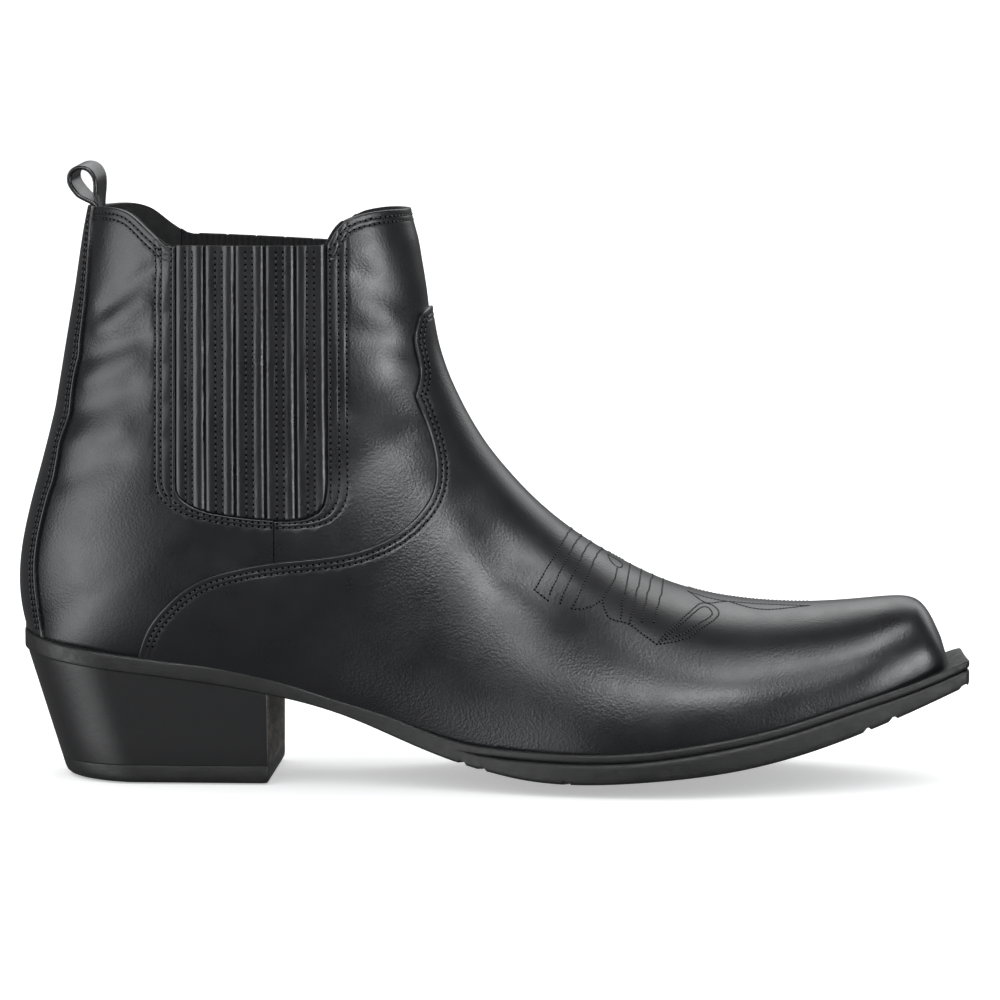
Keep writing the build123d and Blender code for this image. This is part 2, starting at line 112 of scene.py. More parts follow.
# Flat cuts through the upper: bottom or back point (x, z), top or front point (x, z), y of the ridge,
# half widths at the sole (lateral, medial), greatest half widths, height share of the greatest width.
STATIONS = (
    ((257.4, 40.5), (256.8, 44.6), 4.0, (11.0, 10.0), (11.6, 10.6), 0.30),
    ((255.5, 39.5), (254.4, 50.2), 4.0, (14.5, 13.0), (15.3, 13.8), 0.30),
    ((251.0, 37.3), (249.2, 58.2), 4.0, (18.5, 15.8), (19.5, 16.8), 0.28),
    ((243.0, 33.6), (241.0, 60.3), 4.0, (23.0, 18.7), (24.3, 19.9), 0.25),
    ((232.0, 29.5), (229.0, 59.3), 3.8, (28.5, 22.6), (29.9, 23.9), 0.22),
    ((212.0, 22.5), (209.0, 58.1), 3.5, (36.3, 28.6), (37.8, 30.0), 0.20),
    ((188.0, 16.0), (186.0, 59.6), 3.2, (44.3, 36.2), (45.9, 37.7), 0.20),
    ((162.0, 11.5), (166.0, 64.3), 3.0, (48.5, 41.0), (50.2, 42.6), 0.18),
    ((138.0, 10.0), (150.0, 71.7), 2.5, (46.8, 39.3), (49.0, 41.3), 0.20),
    ((112.0, 12.0), (135.0, 80.8), 2.0, (40.5, 31.8), (43.3, 35.5), 0.25),
    ((86.0, 18.3), (121.0, 92.1), 1.5, (33.6, 25.0), (38.8, 32.5), 0.30),
    ((60.0, 27.5), (110.5, 103.3), 1.0, (29.4, 23.2), (36.8, 32.5), 0.35),
    ((34.0, 36.0), (103.7, 112.1), 0.5, (28.4, 26.4), (36.0, 33.5), 0.38),
    ((5.0, 40.8), (98.5, 120.7), 0.0, (28.5, 28.0), (36.2, 34.5), 0.40),
    ((-21.0, 44.0), (95.0, 127.5), 0.0, (28.0, 28.0), (36.5, 35.0), 0.42),
    ((-38.0, 46.2), (92.3, 133.5), 0.0, (22.5, 22.5), (36.8, 35.5), 0.45),
    ((-47.0, 48.0), (90.3, 139.0), 0.0, (12.0, 12.0), (37.0, 36.0), 0.47),
    ((-50.6, 52.0), (88.9, 143.8), 0.0, (0.0, 0.0), (37.0, 36.4), 0.48),
    ((-52.1, 64.0), (87.6, 150.0), 0.0, (0.0, 0.0), (37.0, 36.5), 0.50),
    ((-50.5, 80.0), (86.7, 156.0), 0.0, (0.0, 0.0), (37.0, 36.5), 0.50),
    ((-45.5, 100.0), (86.0, 162.0), 0.0, (0.0, 0.0), (36.8, 36.5), 0.50),
    ((-40.0, 121.0), (85.0, 168.6), 0.0, (0.0, 0.0), (36.5, 36.3), 0.50),
    ((-36.0, 143.0), (84.1, 174.0), 0.0, (0.0, 0.0), (36.3, 36.1), 0.50),
    ((-32.5, 163.0), (83.0, 180.0), 0.0, (0.0, 0.0), (36.1, 36.0), 0.50),
    ((-29.5, 182.0), (81.3, 186.5), 0.0, (0.0, 0.0), (36.0, 36.0), 0.50),
    ((-26.0, 198.0), (79.5, 197.0), 0.0, (0.0, 0.0), (36.0, 36.0), 0.50),
)
HEEL_BACK = 17                     # first cut that ends on the back of the boot and not on the sole
LAST = len(STATIONS) - 1
SIDE_POWER = 2.2
CROWN_POWER = 2.1
NOSE = 1.3                         # how far the snip toe's front bulges past the first cut
SINK = 3.0                         # how far the cuts reach down into the sole
CURTAIN = 5.0                      # how far the upper runs on straight down below them

# Seams as seen from the side: x, z.
VAMP_TONGUE = ((95, 165), (83.6, 154.0))
VAMP_THROAT = ((83.6, 154.0), (82.3, 147.0), (83.9, 136.0), (82.4, 128.5))
VAMP_SIDE = ((82.4, 128.5), (85.7, 120.3), (89.2, 108.0), (88.6, 98.0), (83.5, 89.8), (75.0, 83.0),
             (62.0, 78.0), (42.0, 75.3), (22.2, 71.9), (10.0, 67.3), (1.5, 60.3), (-4.4, 53.2), (-9.5, 40.0))
COUNTER_TOP = ((-60, 98), (-30, 95), (0, 82), (20, 62), (24, 30))
STAY_EDGE = ((-25.8, 197.0), (-26.9, 163.6), (-32.1, 127.5), (-39.4, 96.8), (-44.7, 70.0), (-43.9, 58.2),
             (-41.5, 40.0))
BACK_TOPLINE = ((-27.0, 190.2), (-12.0, 188.4), (-6.5, 184.2), (1.2, TOPLINE_Z))
FRONT_TOPLINE = ((54.5, TOPLINE_Z), (60.0, 185.6), (65.0, 187.8), (84.0, 189.6))
GORE_FOOT = ((GORE_X[0], 103.0), (4.9, 97.5), (9.0, 93.6), (17.0, 90.8), (27.0, 89.3), (38.0, 88.5),
             (47.0, 89.3), (52.0, 92.0), (53.9, 97.0), (GORE_X[1], 103.0))
# Rows sewn round the gore: behind it on the quarter, ahead of it on the shaft front.
QUARTER_ROWS = (((3.2, 205.0), (3.2, 94.5)),
                ((-0.3, 205.0), (-0.3, 103.0), (0.7, 97.8), (6.5, 93.0), (15.5, 90.0), (26.0, 88.3),
                 (36.0, 87.6)),
                ((-2.3, 205.0), (-2.3, 103.0), (-1.1, 97.0), (5.4, 91.6), (15.0, 88.6), (25.8, 86.9),
                 (36.0, 86.2)))
FRONT_ROWS = (((55.5, 205.0), (55.5, 96.0)),
              ((58.3, 205.0), (58.3, 103.0), (57.6, 95.5), (54.6, 90.4), (47.5, 88.0), (38.0, 87.5)),
              ((60.9, 205.0), (60.9, 103.0), (60.2, 94.9), (56.0, 88.9), (48.0, 86.5), (38.0, 86.1)))
FAR = 400.0                        # outside the boot in every direction


# ---- curves ----

def natural(xs, ys, at):
    """Natural cubic spline through rows ys at xs, read at the places given."""
    xs = np.asarray(xs, float)
    ys = np.asarray(ys, float).reshape(len(xs), -1)
    at = np.asarray(at, float)
    h = np.diff(xs)
    slopes = np.diff(ys, axis=0) / h[:, None]
    matrix = np.eye(len(xs))
    right = np.zeros_like(ys)
    for i in range(1, len(xs) - 1):
        matrix[i, i - 1:i + 2] = h[i - 1], 2 * (h[i - 1] + h[i]), h[i]
        right[i] = 6 * (slopes[i] - slopes[i - 1])
    bend = np.linalg.solve(matrix, right)
    i = np.clip(np.searchsorted(xs, at) - 1, 0, len(xs) - 2)
    a = ((xs[i + 1] - at) / h[i])[..., None]
    b = 1 - a
    curve = ((a ** 3 - a) * bend[i] + (b ** 3 - b) * bend[i + 1]) * h[i][..., None] ** 2 / 6
    return a * ys[i] + b * ys[i + 1] + curve


def profile(points, x):
    """Height at x on the smooth profile through the points."""
    points = np.asarray(points, float)
    return natural(points[:, 0], points[:, 1], x)[..., 0]


def lengths(points):
    """Distance along a chain of points, from 0."""
    steps = np.linalg.norm(np.diff(points, axis=0), axis=1)
    return np.concatenate([[0.0], np.cumsum(steps)])


def dense(points, step=0.6):
    """Closely spaced points of the smooth curve through the points, a line where there are two."""
    points = np.asarray(points, float)
    along = lengths(points)
    at = np.linspace(0, along[-1], max(int(along[-1] / step), 2) + 1)
    return natural(along, points, at)


def respaced(points, pitch):
    """Points at an even pitch along a chain."""
    along = lengths(points)
    count = max(int(round(along[-1] / pitch)), 1)
    at = np.linspace(0, along[-1], count + 1)
    return np.stack([np.interp(at, along, points[:, k]) for k in range(points.shape[1])], axis=1)


def crown_at(x, y):
    """How far the sole curls up at y from its centre line."""
    return CROWN * np.clip((x - BREAST_X) / CROWN_LENGTH, 0, 1) * (y / CROWN_AT) ** 2


def sole_top(x, y):
    return profile(SOLE_TOP, x) + crown_at(x, y)


def sole_bottom(x, y):
    return profile(SOLE_BOTTOM, x) + crown_at(x, y)


# ---- the upper's outer surface ----

SECTIONS = np.array([(*low, *high, ridge, *feet, *widest, share)
                     for low, high, ridge, feet, widest, share in STATIONS], float)
SECTIONS[:HEEL_BACK, 1] -= SINK


def upper_point(u, v, side):
    """Point on the outer surface: u is the cut's number, v runs 0 at the sole or back to 2 at the ridge."""
    u = np.asarray(u, float)
    v = np.asarray(v, float)
    side = np.broadcast_to(np.asarray(side, float), u.shape)
    crossed = ((v < 0) & (u > HEEL_BACK)) | (v > 2)
    side = np.where(crossed, -side, side)
    v = np.where((v < 0) & (u > HEEL_BACK), -v, v)
    v = np.where(v > 2, 4 - v, v)
    row = natural(np.arange(LAST + 1), SECTIONS, np.clip(u, 0, LAST))
    bx, bz, tx, tz, ridge = (row[..., k] for k in range(5))
    foot = np.where(side < 0, row[..., 5], row[..., 6])
    wide = np.where(side < 0, row[..., 7], row[..., 8])
    share = row[..., 9]
    foot = np.where(u >= HEEL_BACK, 0.0, np.clip(foot, 0.0, 0.999 * wide))
    start = np.arccos((foot / wide) ** (SIDE_POWER / 2))
    low = start * (1 - np.clip(v, 0, 1))
    high = math.pi / 2 * np.clip(v - 1, 0, 1)
    low_rise = share * (1 - (np.sin(low) / np.sin(start)) ** (2 / SIDE_POWER))
    high_rise = share + (1 - share) * np.sin(high) ** (2 / CROWN_POWER)
    low_width = wide * np.cos(low).clip(0) ** (2 / SIDE_POWER)
    high_width = wide * np.cos(high).clip(0) ** (2 / CROWN_POWER)
    nose = math.pi / 2 * np.clip(-u, 0, 1)
    rise = np.where(v < 1, low_rise, high_rise) * np.cos(nose)
    width = np.where(v < 1, low_width, high_width) * np.cos(nose)
    x = bx + (tx - bx) * rise + NOSE * np.sin(nose)
    z = bz + (tz - bz) * rise + CURTAIN * np.minimum(v, 0)
    return np.stack([x, ridge + side * width, z], axis=-1)


def upper_normal(u, v, side):
    """Unit normal of the outer surface, pointing out."""
    du = 0.02
    dv = 0.01
    ahead = np.minimum(u + du, np.where((v < 0) & (u <= HEEL_BACK), HEEL_BACK, LAST))
    along = upper_point(ahead, v, side) - upper_point(np.clip(u - du, -0.98, LAST), v, side)
    closed = u > HEEL_BACK
    below = np.where(closed | (v < 0), v - dv, np.maximum(v - dv, 0))
    above = np.where((v < 0) & ~closed, np.minimum(v + dv, 0), v + dv)
    across = upper_point(u, above, side) - upper_point(u, below, side)
    normal = np.cross(along, across) * np.asarray(side)[..., None]
    return normal / np.linalg.norm(normal, axis=-1, keepdims=True)


def row_numbers(first, last, step):
    """Cut numbers from first to last whose cuts lie about a step apart."""
    fine = np.linspace(first, last, 2000)
    row = natural(np.arange(LAST + 1), SECTIONS, np.clip(fine, 0, LAST))
    moves = np.abs(np.diff(row, axis=0))
    reach = np.maximum(np.hypot(moves[:, 0], moves[:, 1]), np.hypot(moves[:, 2], moves[:, 3]))
    reach = np.maximum(reach, moves[:, 5]) + 1e-9
    along = np.concatenate([[0.0], np.cumsum(reach)])
    count = int(along[-1] / step) + 1
    return np.interp(np.linspace(0, along[-1], count + 1), along, fine)


def find_on_side(x, z, side):
    """(u, v) of the surface point that is seen at (x, z) from the side."""
    fine = np.linspace(0, LAST, 1500)
    row = natural(np.arange(LAST + 1), SECTIONS, fine)
    found = []
    for px, pz, s in zip(x, z, np.broadcast_to(side, np.shape(x))):
        dx = row[:, 2] - row[:, 0]
        dz = row[:, 3] - row[:, 1]
        turn = dx * (pz - row[:, 1]) - dz * (px - row[:, 0])
        t = (dx * (px - row[:, 0]) + dz * (pz - row[:, 1])) / (dx ** 2 + dz ** 2)
        change = np.nonzero((turn[:-1] * turn[1:] <= 0) & (t[:-1] > -0.3) & (t[:-1] < 1.3))[0]
        if len(change) == 0:
            k = int(np.argmin(np.abs(turn) + 1e3 * ((t < -0.2) | (t > 1.2))))
            u = fine[k]
        else:
            k = change[0]
            u = fine[k] + (fine[k + 1] - fine[k]) * turn[k] / (turn[k] - turn[k + 1] + 1e-12)
        here = natural(np.arange(LAST + 1), SECTIONS, u)
        dx = here[2] - here[0]
        dz = here[3] - here[1]
        t = float(np.clip((dx * (px - here[0]) + dz * (pz - here[1])) / (dx ** 2 + dz ** 2), 0, 1))
        foot = 0.0 if u >= HEEL_BACK else here[5 if s < 0 else 6]
        wide = here[7 if s < 0 else 8]
        share = here[9]
        start = math.acos((max(foot, 0.0) / wide) ** (SIDE_POWER / 2))
        if t < share:
            angle = math.asin(min(math.sin(start) * (1 - t / share) ** (SIDE_POWER / 2), 1.0))
            found.append((u, 1 - angle / start))
        else:
            found.append((u, 1 + math.asin(((t - share) / (1 - share)) ** (CROWN_POWER / 2)) / (math.pi / 2)))
    return np.array(found)


# ---- side-view regions as distances ----

class Region:
    """A region of the side view. Its value is the distance to its edge, positive inside."""

    def __init__(self, edge, *closing, outside=False):
        self.edge = np.asarray(edge, float)
        self.polygon = np.concatenate([self.edge, np.asarray(closing, float).reshape(-1, 2)])
        self.sign = -1.0 if outside else 1.0

    def __call__(self, points, normals):
        x = points[:, 0]
        z = points[:, 2]
        nearest = np.full(len(x), np.inf)
        gx = np.zeros(len(x))
        gz = np.zeros(len(x))
        for (ax, az), (bx, bz) in zip(self.edge[:-1], self.edge[1:]):
            dx = bx - ax
            dz = bz - az
            t = np.clip(((x - ax) * dx + (z - az) * dz) / (dx * dx + dz * dz), 0, 1)
            ox = x - ax - t * dx
            oz = z - az - t * dz
            far = np.hypot(ox, oz)
            closer = far < nearest
            nearest = np.where(closer, far, nearest)
            gx = np.where(closer, ox, gx)
            gz = np.where(closer, oz, gz)
        inside = np.zeros(len(x), bool)
        ring = np.concatenate([self.polygon, self.polygon[:1]])
        for (ax, az), (bx, bz) in zip(ring[:-1], ring[1:]):
            if az == bz:
                continue
            crosses = (az > z) != (bz > z)
            inside ^= crosses & (x < ax + (z - az) * (bx - ax) / (bz - az))
        size = np.maximum(np.hypot(gx, gz), 1e-6)
        slope = (normals[:, 0] * gx + normals[:, 2] * gz) / size
        stretch = np.sqrt(np.clip(1 - slope ** 2, 0.08, 1))
        return self.sign * np.where(inside, nearest, -nearest) / stretch


def shifted(points, distance):
    """The chain of points moved sideways, to the left of its direction."""
    points = np.asarray(points, float)
    ahead = np.concatenate([points[1:], points[-1:]])
    behind = np.concatenate([points[:1], points[:-1]])
    step = ahead - behind
    step /= np.linalg.norm(step, axis=1, keepdims=True)
    return points + distance * np.stack([-step[:, 1], step[:, 0]], axis=1)


def joined(*chains):
    return np.concatenate([dense(chain) for chain in chains])


def vamp_edge(inset=0.0):
    if inset:
        return shifted(dense(VAMP_TONGUE[:1] + VAMP_THROAT[:-1] + VAMP_SIDE), inset)
    return joined(VAMP_TONGUE, VAMP_THROAT, VAMP_SIDE)


def vamp_region(inset=0.0, outside=False):
    edge = vamp_edge(inset)
    return Region(edge, (edge[-1][0], -FAR), (FAR, -FAR), (FAR, 165), outside=outside)




def topline(back_z, front_z):
    """Region below the topline; the two heights are those beside the gore."""
    back = BACK_TOPLINE[:-1] + ((1.2, back_z),)
    front = ((54.5, front_z),) + FRONT_TOPLINE[1:]
    chain = joined(((-90, 191), back[0]), back, (back[-1], front[0]), front, (front[-1], (150, 190)))
    return Region(chain, (FAR, 190), (FAR, -FAR), (-90, -FAR))


LATERAL_TOP = topline(TOPLINE_Z, TOPLINE_Z)
MEDIAL_TOP = topline(*MEDIAL_TOPLINE_Z)


def below_topline(points, normals):
    return np.where(points[:, 1] < 0, LATERAL_TOP(points, normals), MEDIAL_TOP(points, normals))


def topline_height(x, side):
    """Height of the topline over the gore."""
    if side < 0:
        return TOPLINE_Z
    return float(np.interp(x, GORE_X, MEDIAL_TOPLINE_Z))


STAY_CURVE = dense(STAY_EDGE)
behind_stay_edge = Region(STAY_CURVE, (-90, 40), (-90, 197))


def gore_edge(margin=0.0):
    """The U of the gore opening, from its back top corner down and round to the front."""
    u = np.concatenate([[(GORE_X[0], 205.0)], dense(GORE_FOOT, 0.9), [(GORE_X[1], 205.0)]])
    return shifted(u, -margin) if margin else u


def gore_region(margin=0.0, outside=False):
    return Region(gore_edge(margin), outside=outside)


def ahead_of(x0):
    return lambda points, normals: points[:, 0] - x0


def behind_of(x1):
    return lambda points, normals: x1 - points[:, 0]


def above(z0):
    return lambda points, normals: points[:, 2] - z0


def above_sole(points, normals):
    return points[:, 2] - sole_top(points[:, 0], points[:, 1]) + SOLE_TUCK


# ---- sheets: panels cut out of the outer surface and given thickness ----

# Soft folds of the worn-in shaft: x, z of both ends, half width, depth, side (-1 lateral, 1 medial, 0 both).
FOLDS = (((-20, 158), (-4, 170), 3.2, -0.75, 0), ((-22, 150), (-6, 160), 3.0, 0.55, 0),
         ((-28, 141), (-8, 148), 3.6, -0.7, 0), ((-27, 133), (-10, 141), 3.4, 0.45, 0),
         ((-33, 122), (-12, 130), 4.5, -0.8, 0), ((-34, 112), (-14, 118), 4.2, 0.5, 0),
         ((-37, 100), (-16, 108), 4.5, -0.6, -1), ((66, 168), (80, 158), 5.0, -0.6, -1),
         ((64, 150), (80, 144), 5.0, -0.5, 0), ((62, 128), (78, 118), 6.0, -0.45, -1),
         ((12, 80), (34, 72), 5.0, -0.4, 0), ((100, 96), (112, 74), 6.0, -0.45, 0),
         ((108, 84), (128, 62), 6.0, -0.3, -1))


def relief(points, side):
    """Soft folds and dents that every layer shares."""
    total = np.zeros(len(points))
    for (ax, az), (bx, bz), half, depth, where in FOLDS:
        dx = bx - ax
        dz = bz - az
        t = np.clip(((points[:, 0] - ax) * dx + (points[:, 2] - az) * dz) / (dx * dx + dz * dz), 0, 1)
        away = np.hypot(points[:, 0] - ax - t * dx, points[:, 2] - az - t * dz)
        fold = depth * np.exp(-(away / half) ** 2)
        total += fold * (1.0 if where == 0 else (np.sign(side) == where))
    return total * np.clip((186 - points[:, 2]) / 12, 0, 1)


COLUMN_STEP = 0.027                # spacing of the sheets' columns in v


def half_sheet(side, rows, columns, cuts, rings):
    """One side's grid in (u, v), cut by the fields and split along their distances. Returns u, v, faces."""
    curtain = np.array([-1.0, -0.5]) if columns[0] <= 0 else np.array([])
    mesh = bmesh.new()
    layer_u = mesh.verts.layers.float.new("u")
    layer_v = mesh.verts.layers.float.new("v")
    places = {}
    for i, u in enumerate(rows):
        for j, v in enumerate(np.concatenate([curtain, columns])):
            if v < 0 and u > HEEL_BACK + 1e-6:
                continue
            vert = mesh.verts.new((0, 0, 0))
            vert[layer_u] = u
            vert[layer_v] = v
            places[i, j] = vert
    width = len(curtain) + len(columns)
    for i in range(len(rows) - 1):
        for j in range(width - 1):
            corners = [places.get(c) for c in ((i, j), (i, j + 1), (i + 1, j + 1), (i + 1, j))]
            if None not in corners:
                mesh.faces.new(corners if side < 0 else corners[::-1])
    u = np.array([vert[layer_u] for vert in mesh.verts])
    v = np.array([vert[layer_v] for vert in mesh.verts])
    points = upper_point(u, v, side)
    normals = upper_normal(u, v, np.full(len(u), float(side)))
    for k, (field, levels) in enumerate([(cut, ()) for cut in cuts] + list(rings)):
        layer = mesh.verts.layers.float.new(f"field{k}")
        for vert, value in zip(mesh.verts, field(points, normals)):
            vert[layer] = value
    for k in range(len(cuts) + len(rings)):
        layer = mesh.verts.layers.float[f"field{k}"]
        levels = (0.0,) if k < len(cuts) else rings[k - len(cuts)][1]
        for vert in mesh.verts:
            vert.co = vert[layer], vert[layer_u], vert[layer_v]
        for level in levels:
            everything = mesh.verts[:] + mesh.edges[:] + mesh.faces[:]
            bmesh.ops.bisect_plane(mesh, geom=everything, dist=0.02 if k < len(cuts) else 0.01,
                                   plane_co=(level, 0, 0), plane_no=(1, 0, 0), clear_inner=k < len(cuts))
        if not mesh.verts:
            break
    mesh.verts.index_update()
    u = np.array([vert[layer_u] for vert in mesh.verts])
    v = np.array([vert[layer_v] for vert in mesh.verts])
    fields = []
    for k in range(len(rings)):
        layer = mesh.verts.layers.float[f"field{len(cuts) + k}"]
        fields.append(np.array([vert[layer] for vert in mesh.verts]))
    faces = [[vert.index for vert in face.verts] for face in mesh.faces]
    mesh.free()
    return u, v, fields, faces


def columns_between(v0, v1):
    return np.linspace(v0, v1, int((v1 - v0) / COLUMN_STEP) + 1)


def finish_mesh(name, points, faces, sharp=40.0):
    """Make an object from points in millimetres."""
    data = bpy.data.meshes.new(name)
    data.from_pydata((np.asarray(points) * MM).tolist(), [], faces)
    data.validate()
    mesh = bmesh.new()
    mesh.from_mesh(data)
    bmesh.ops.recalc_face_normals(mesh, faces=mesh.faces)
    mesh.to_mesh(data)
    mesh.free()
    data.shade_smooth()
    data.set_sharp_from_angle(angle=math.radians(sharp))
    piece = bpy.data.objects.new(name, data)
    bpy.context.scene.collection.objects.link(piece)
    return piece


EDGE_LEVELS = (0.06, 0.2, 0.45, 0.8)
EDGE_ROUND = 0.45


def rolled(distance, radius=EDGE_ROUND):
    """How far the outer face drops at a distance from a cut edge."""
    share = 1 - np.clip(distance / radius, 0, 1)
    return radius * (1 - np.sqrt(np.clip(1 - share ** 2, 0, 1)))


def panel(name, sides, outer, inner, cuts, edges=(), rows=(-0.98, LAST), columns=(0.0, 2.0), step=1.6,
          shape=None, extra=(), grooves=(), lines=()):
    """A piece of the upper: a sheet between two depths, cut by fields, with rolled edges and sewn grooves."""
    sewn = dict(grooves)
    rings = [(edge, EDGE_LEVELS + row_levels(sewn.get(edge, ()))) for edge in edges]
    rings += [(line, row_levels((0.0,))) for line in lines] + list(extra)
    row_list = row_numbers(rows[0], rows[1], step)
    if rows[0] < HEEL_BACK < rows[1]:
        row_list[np.argmin(np.abs(row_list - HEEL_BACK))] = HEEL_BACK
    column_list = columns_between(*columns)
    parts = []
    faces = []
    count = 0
    for side in sides:
        u, v, fields, found = half_sheet(side, row_list, column_list, cuts, rings)
        parts.append((u, v, np.full(len(u), float(side)), *fields))
        faces += [[i + count for i in face] for face in found]
        count += len(u)
    u, v, side, *fields = (np.concatenate(values) for values in zip(*parts))
    surface = upper_point(u, v, side)
    normal = upper_normal(u, v, side)
    surface = surface + normal * relief(surface, side)[:, None]
    drop = np.zeros(len(u))
    for edge, distance in zip(edges, fields):
        drop = np.maximum(drop, rolled(distance)) + row_groove(distance, sewn.get(edge, ()))
    for line in lines:
        drop = drop + row_groove(line(surface, normal), (0.0,))
    if shape is not None:
        drop = drop - shape(surface, side, fields)
    top = surface - normal * (outer + drop)[:, None]
    bottom = surface - normal * inner
    return thick_piece(name, top, bottom, faces)


def thick_piece(name, top, bottom, faces):
    """Close the space between two sheets with the same faces."""
    keys = {}
    same = []
    for k, key in enumerate(map(tuple, np.round(top, 3))):
        same.append(keys.setdefault(key, k))
    kept = sorted(set(same))
    number = {old: new for new, old in enumerate(kept)}
    clean = []
    for face in faces:
        corners = [number[same[i]] for i in face]
        corners = [c for k, c in enumerate(corners) if c != corners[k - 1]]
        if len(set(corners)) > 2:
            clean.append(corners)
    count = len(kept)
    used = {}
    for face in clean:
        for k, a in enumerate(face):
            used[(a, face[(k + 1) % len(face)])] = True
    walls = [[b, a, a + count, b + count] for a, b in used if (b, a) not in used]
    under = [[i + count for i in reversed(face)] for face in clean]
    points = np.concatenate([top[kept], bottom[kept]])
    return finish_mesh(name, points, clean + under + walls)


# ---- materials ----

class Graph:
    """A material's node tree with short calls for the nodes used here."""

    def __init__(self, name):
        self.material = bpy.data.materials.new(name)
        self.material.use_nodes = True
        self.tree = self.material.node_tree
        self.shader = self.tree.nodes["Principled BSDF"]
        self.object_coords = self.tree.nodes.new("ShaderNodeTexCoord").outputs["Object"]

    def node(self, kind, **values):
        made = self.tree.nodes.new(kind)
        for key, value in values.items():
            setattr(made, key, value)
        return made

    def link(self, source, target):
        self.tree.links.new(source, target)

    def noise(self, size, detail=3.0, roughness=0.55, stretch=(1, 1, 1), distortion=0.0):
        """Noise whose features are about size metres across."""
        place = self.node("ShaderNodeMapping")
        place.inputs["Scale"].default_value = stretch
        self.link(self.object_coords, place.inputs["Vector"])
        made = self.node("ShaderNodeTexNoise")
        made.inputs["Scale"].default_value = 1.0 / size
        made.inputs["Detail"].default_value = detail
        made.inputs["Roughness"].default_value = roughness
        made.inputs["Distortion"].default_value = distortion
        self.link(place.outputs["Vector"], made.inputs["Vector"])
        return made.outputs["Fac"]

    def cells(self, size):
        """Distance from the middles of warped cells about size metres across."""
        made = self.node("ShaderNodeTexVoronoi", feature="F1")
        made.inputs["Scale"].default_value = 1.0 / size
        warp = self.node("ShaderNodeVectorMath", operation="MULTIPLY_ADD")
        shift = self.node("ShaderNodeTexNoise")
        shift.inputs["Scale"].default_value = 0.7 / size
        self.link(self.object_coords, shift.inputs["Vector"])
        self.link(shift.outputs["Color"], warp.inputs[0])
        warp.inputs[1].default_value = (size * 0.8,) * 3
        self.link(self.object_coords, warp.inputs[2])
        self.link(warp.outputs["Vector"], made.inputs["Vector"])
        return made.outputs["Distance"]

    def ramp(self, source, low, high, to_low, to_high):
        made = self.node("ShaderNodeMapRange", interpolation_type="SMOOTHSTEP")
        for key, value in (("From Min", low), ("From Max", high), ("To Min", to_low), ("To Max", to_high)):
            made.inputs[key].default_value = value
        self.link(source, made.inputs["Value"])
        return made.outputs["Result"]

    def maths(self, operation, a, b):
        made = self.node("ShaderNodeMath", operation=operation)
        for socket, value in zip(made.inputs, (a, b)):
            if isinstance(value, (int, float)):
                socket.default_value = value
            else:
                self.link(value, socket)
        return made.outputs["Value"]

    def colours(self, source, dark, light):
        made = self.node("ShaderNodeMix", data_type="RGBA")
        made.inputs["A"].default_value = (*dark, 1)
        made.inputs["B"].default_value = (*light, 1)
        self.link(source, made.inputs["Factor"])
        return made.outputs["Result"]

    def bump(self, height, depth, strength=1.0, before=None):
        """A bump whose full height is depth metres."""
        made = self.node("ShaderNodeBump")
        made.inputs["Distance"].default_value = depth
        made.inputs["Strength"].default_value = strength
        self.link(height, made.inputs["Height"])
        if before is not None:
            self.link(before, made.inputs["Normal"])
        return made.outputs["Normal"]

    def set(self, **values):
        for key, value in values.items():
            self.shader.inputs[key.replace("_", " ")].default_value = value


def polished_leather():
    g = Graph("polished_black_leather")
    tone = g.noise(0.03, 3)
    g.link(g.colours(tone, (0.006, 0.0062, 0.0074), (0.009, 0.0092, 0.011)), g.shader.inputs["Base Color"])
    g.link(g.ramp(g.noise(0.012, 4), 0.3, 0.7, 0.27, 0.35), g.shader.inputs["Roughness"])
    pores = g.cells(0.00085)
    patches = g.ramp(g.noise(0.045, 2), 0.38, 0.68, 0.35, 1.0)
    pebble = g.maths("MULTIPLY", pores, patches)
    first = g.bump(pebble, 0.00007, 0.9)
    creases = g.bump(g.noise(0.0016, 4, stretch=(1, 1, 0.6)), 0.00003, 0.8, before=first)
    g.link(creases, g.shader.inputs["Normal"])
    g.set(Specular_IOR_Level=0.55)
    return g.material


def suede_lining():
    g = Graph("black_lining_leather")
    tone = g.noise(0.004, 4)
    g.link(g.colours(tone, (0.008, 0.008, 0.009), (0.02, 0.02, 0.021)), g.shader.inputs["Base Color"])
    g.link(g.ramp(tone, 0.3, 0.7, 0.7, 0.9), g.shader.inputs["Roughness"])
    g.link(g.bump(g.noise(0.0006, 3), 0.0001), g.shader.inputs["Normal"])
    return g.material


def ribbed_elastic():
    g = Graph("black_ribbed_elastic")
    rib = g.node("ShaderNodeTexWave", bands_direction="X")
    rib.inputs["Scale"].default_value = 160.0
    rib.inputs["Distortion"].default_value = 0.6
    g.link(g.object_coords, rib.inputs["Vector"])
    # The colour follows the rib bump: painted shade, darker in the valleys between the ribs than on their
    # tops.
    g.link(g.colours(rib.outputs["Fac"], (0.004, 0.004, 0.005), (0.013, 0.013, 0.014)),
           g.shader.inputs["Base Color"])
    g.link(g.bump(rib.outputs["Fac"], 0.0003), g.shader.inputs["Normal"])
    g.set(Roughness=0.85)
    return g.material


def sole_rubber(name="sole_rubber", base=0.007):
    g = Graph(name)
    tone = g.noise(0.008, 5)
    g.link(g.colours(tone, (base * 0.7,) * 3, (base * 1.5, base * 1.5, base * 1.55)),
           g.shader.inputs["Base Color"])
    g.link(g.ramp(g.noise(0.003, 4), 0.3, 0.7, 0.42, 0.58), g.shader.inputs["Roughness"])
    g.link(g.bump(g.noise(0.0009, 4, stretch=(0.25, 0.25, 1)), 0.00006), g.shader.inputs["Normal"])
    return g.material


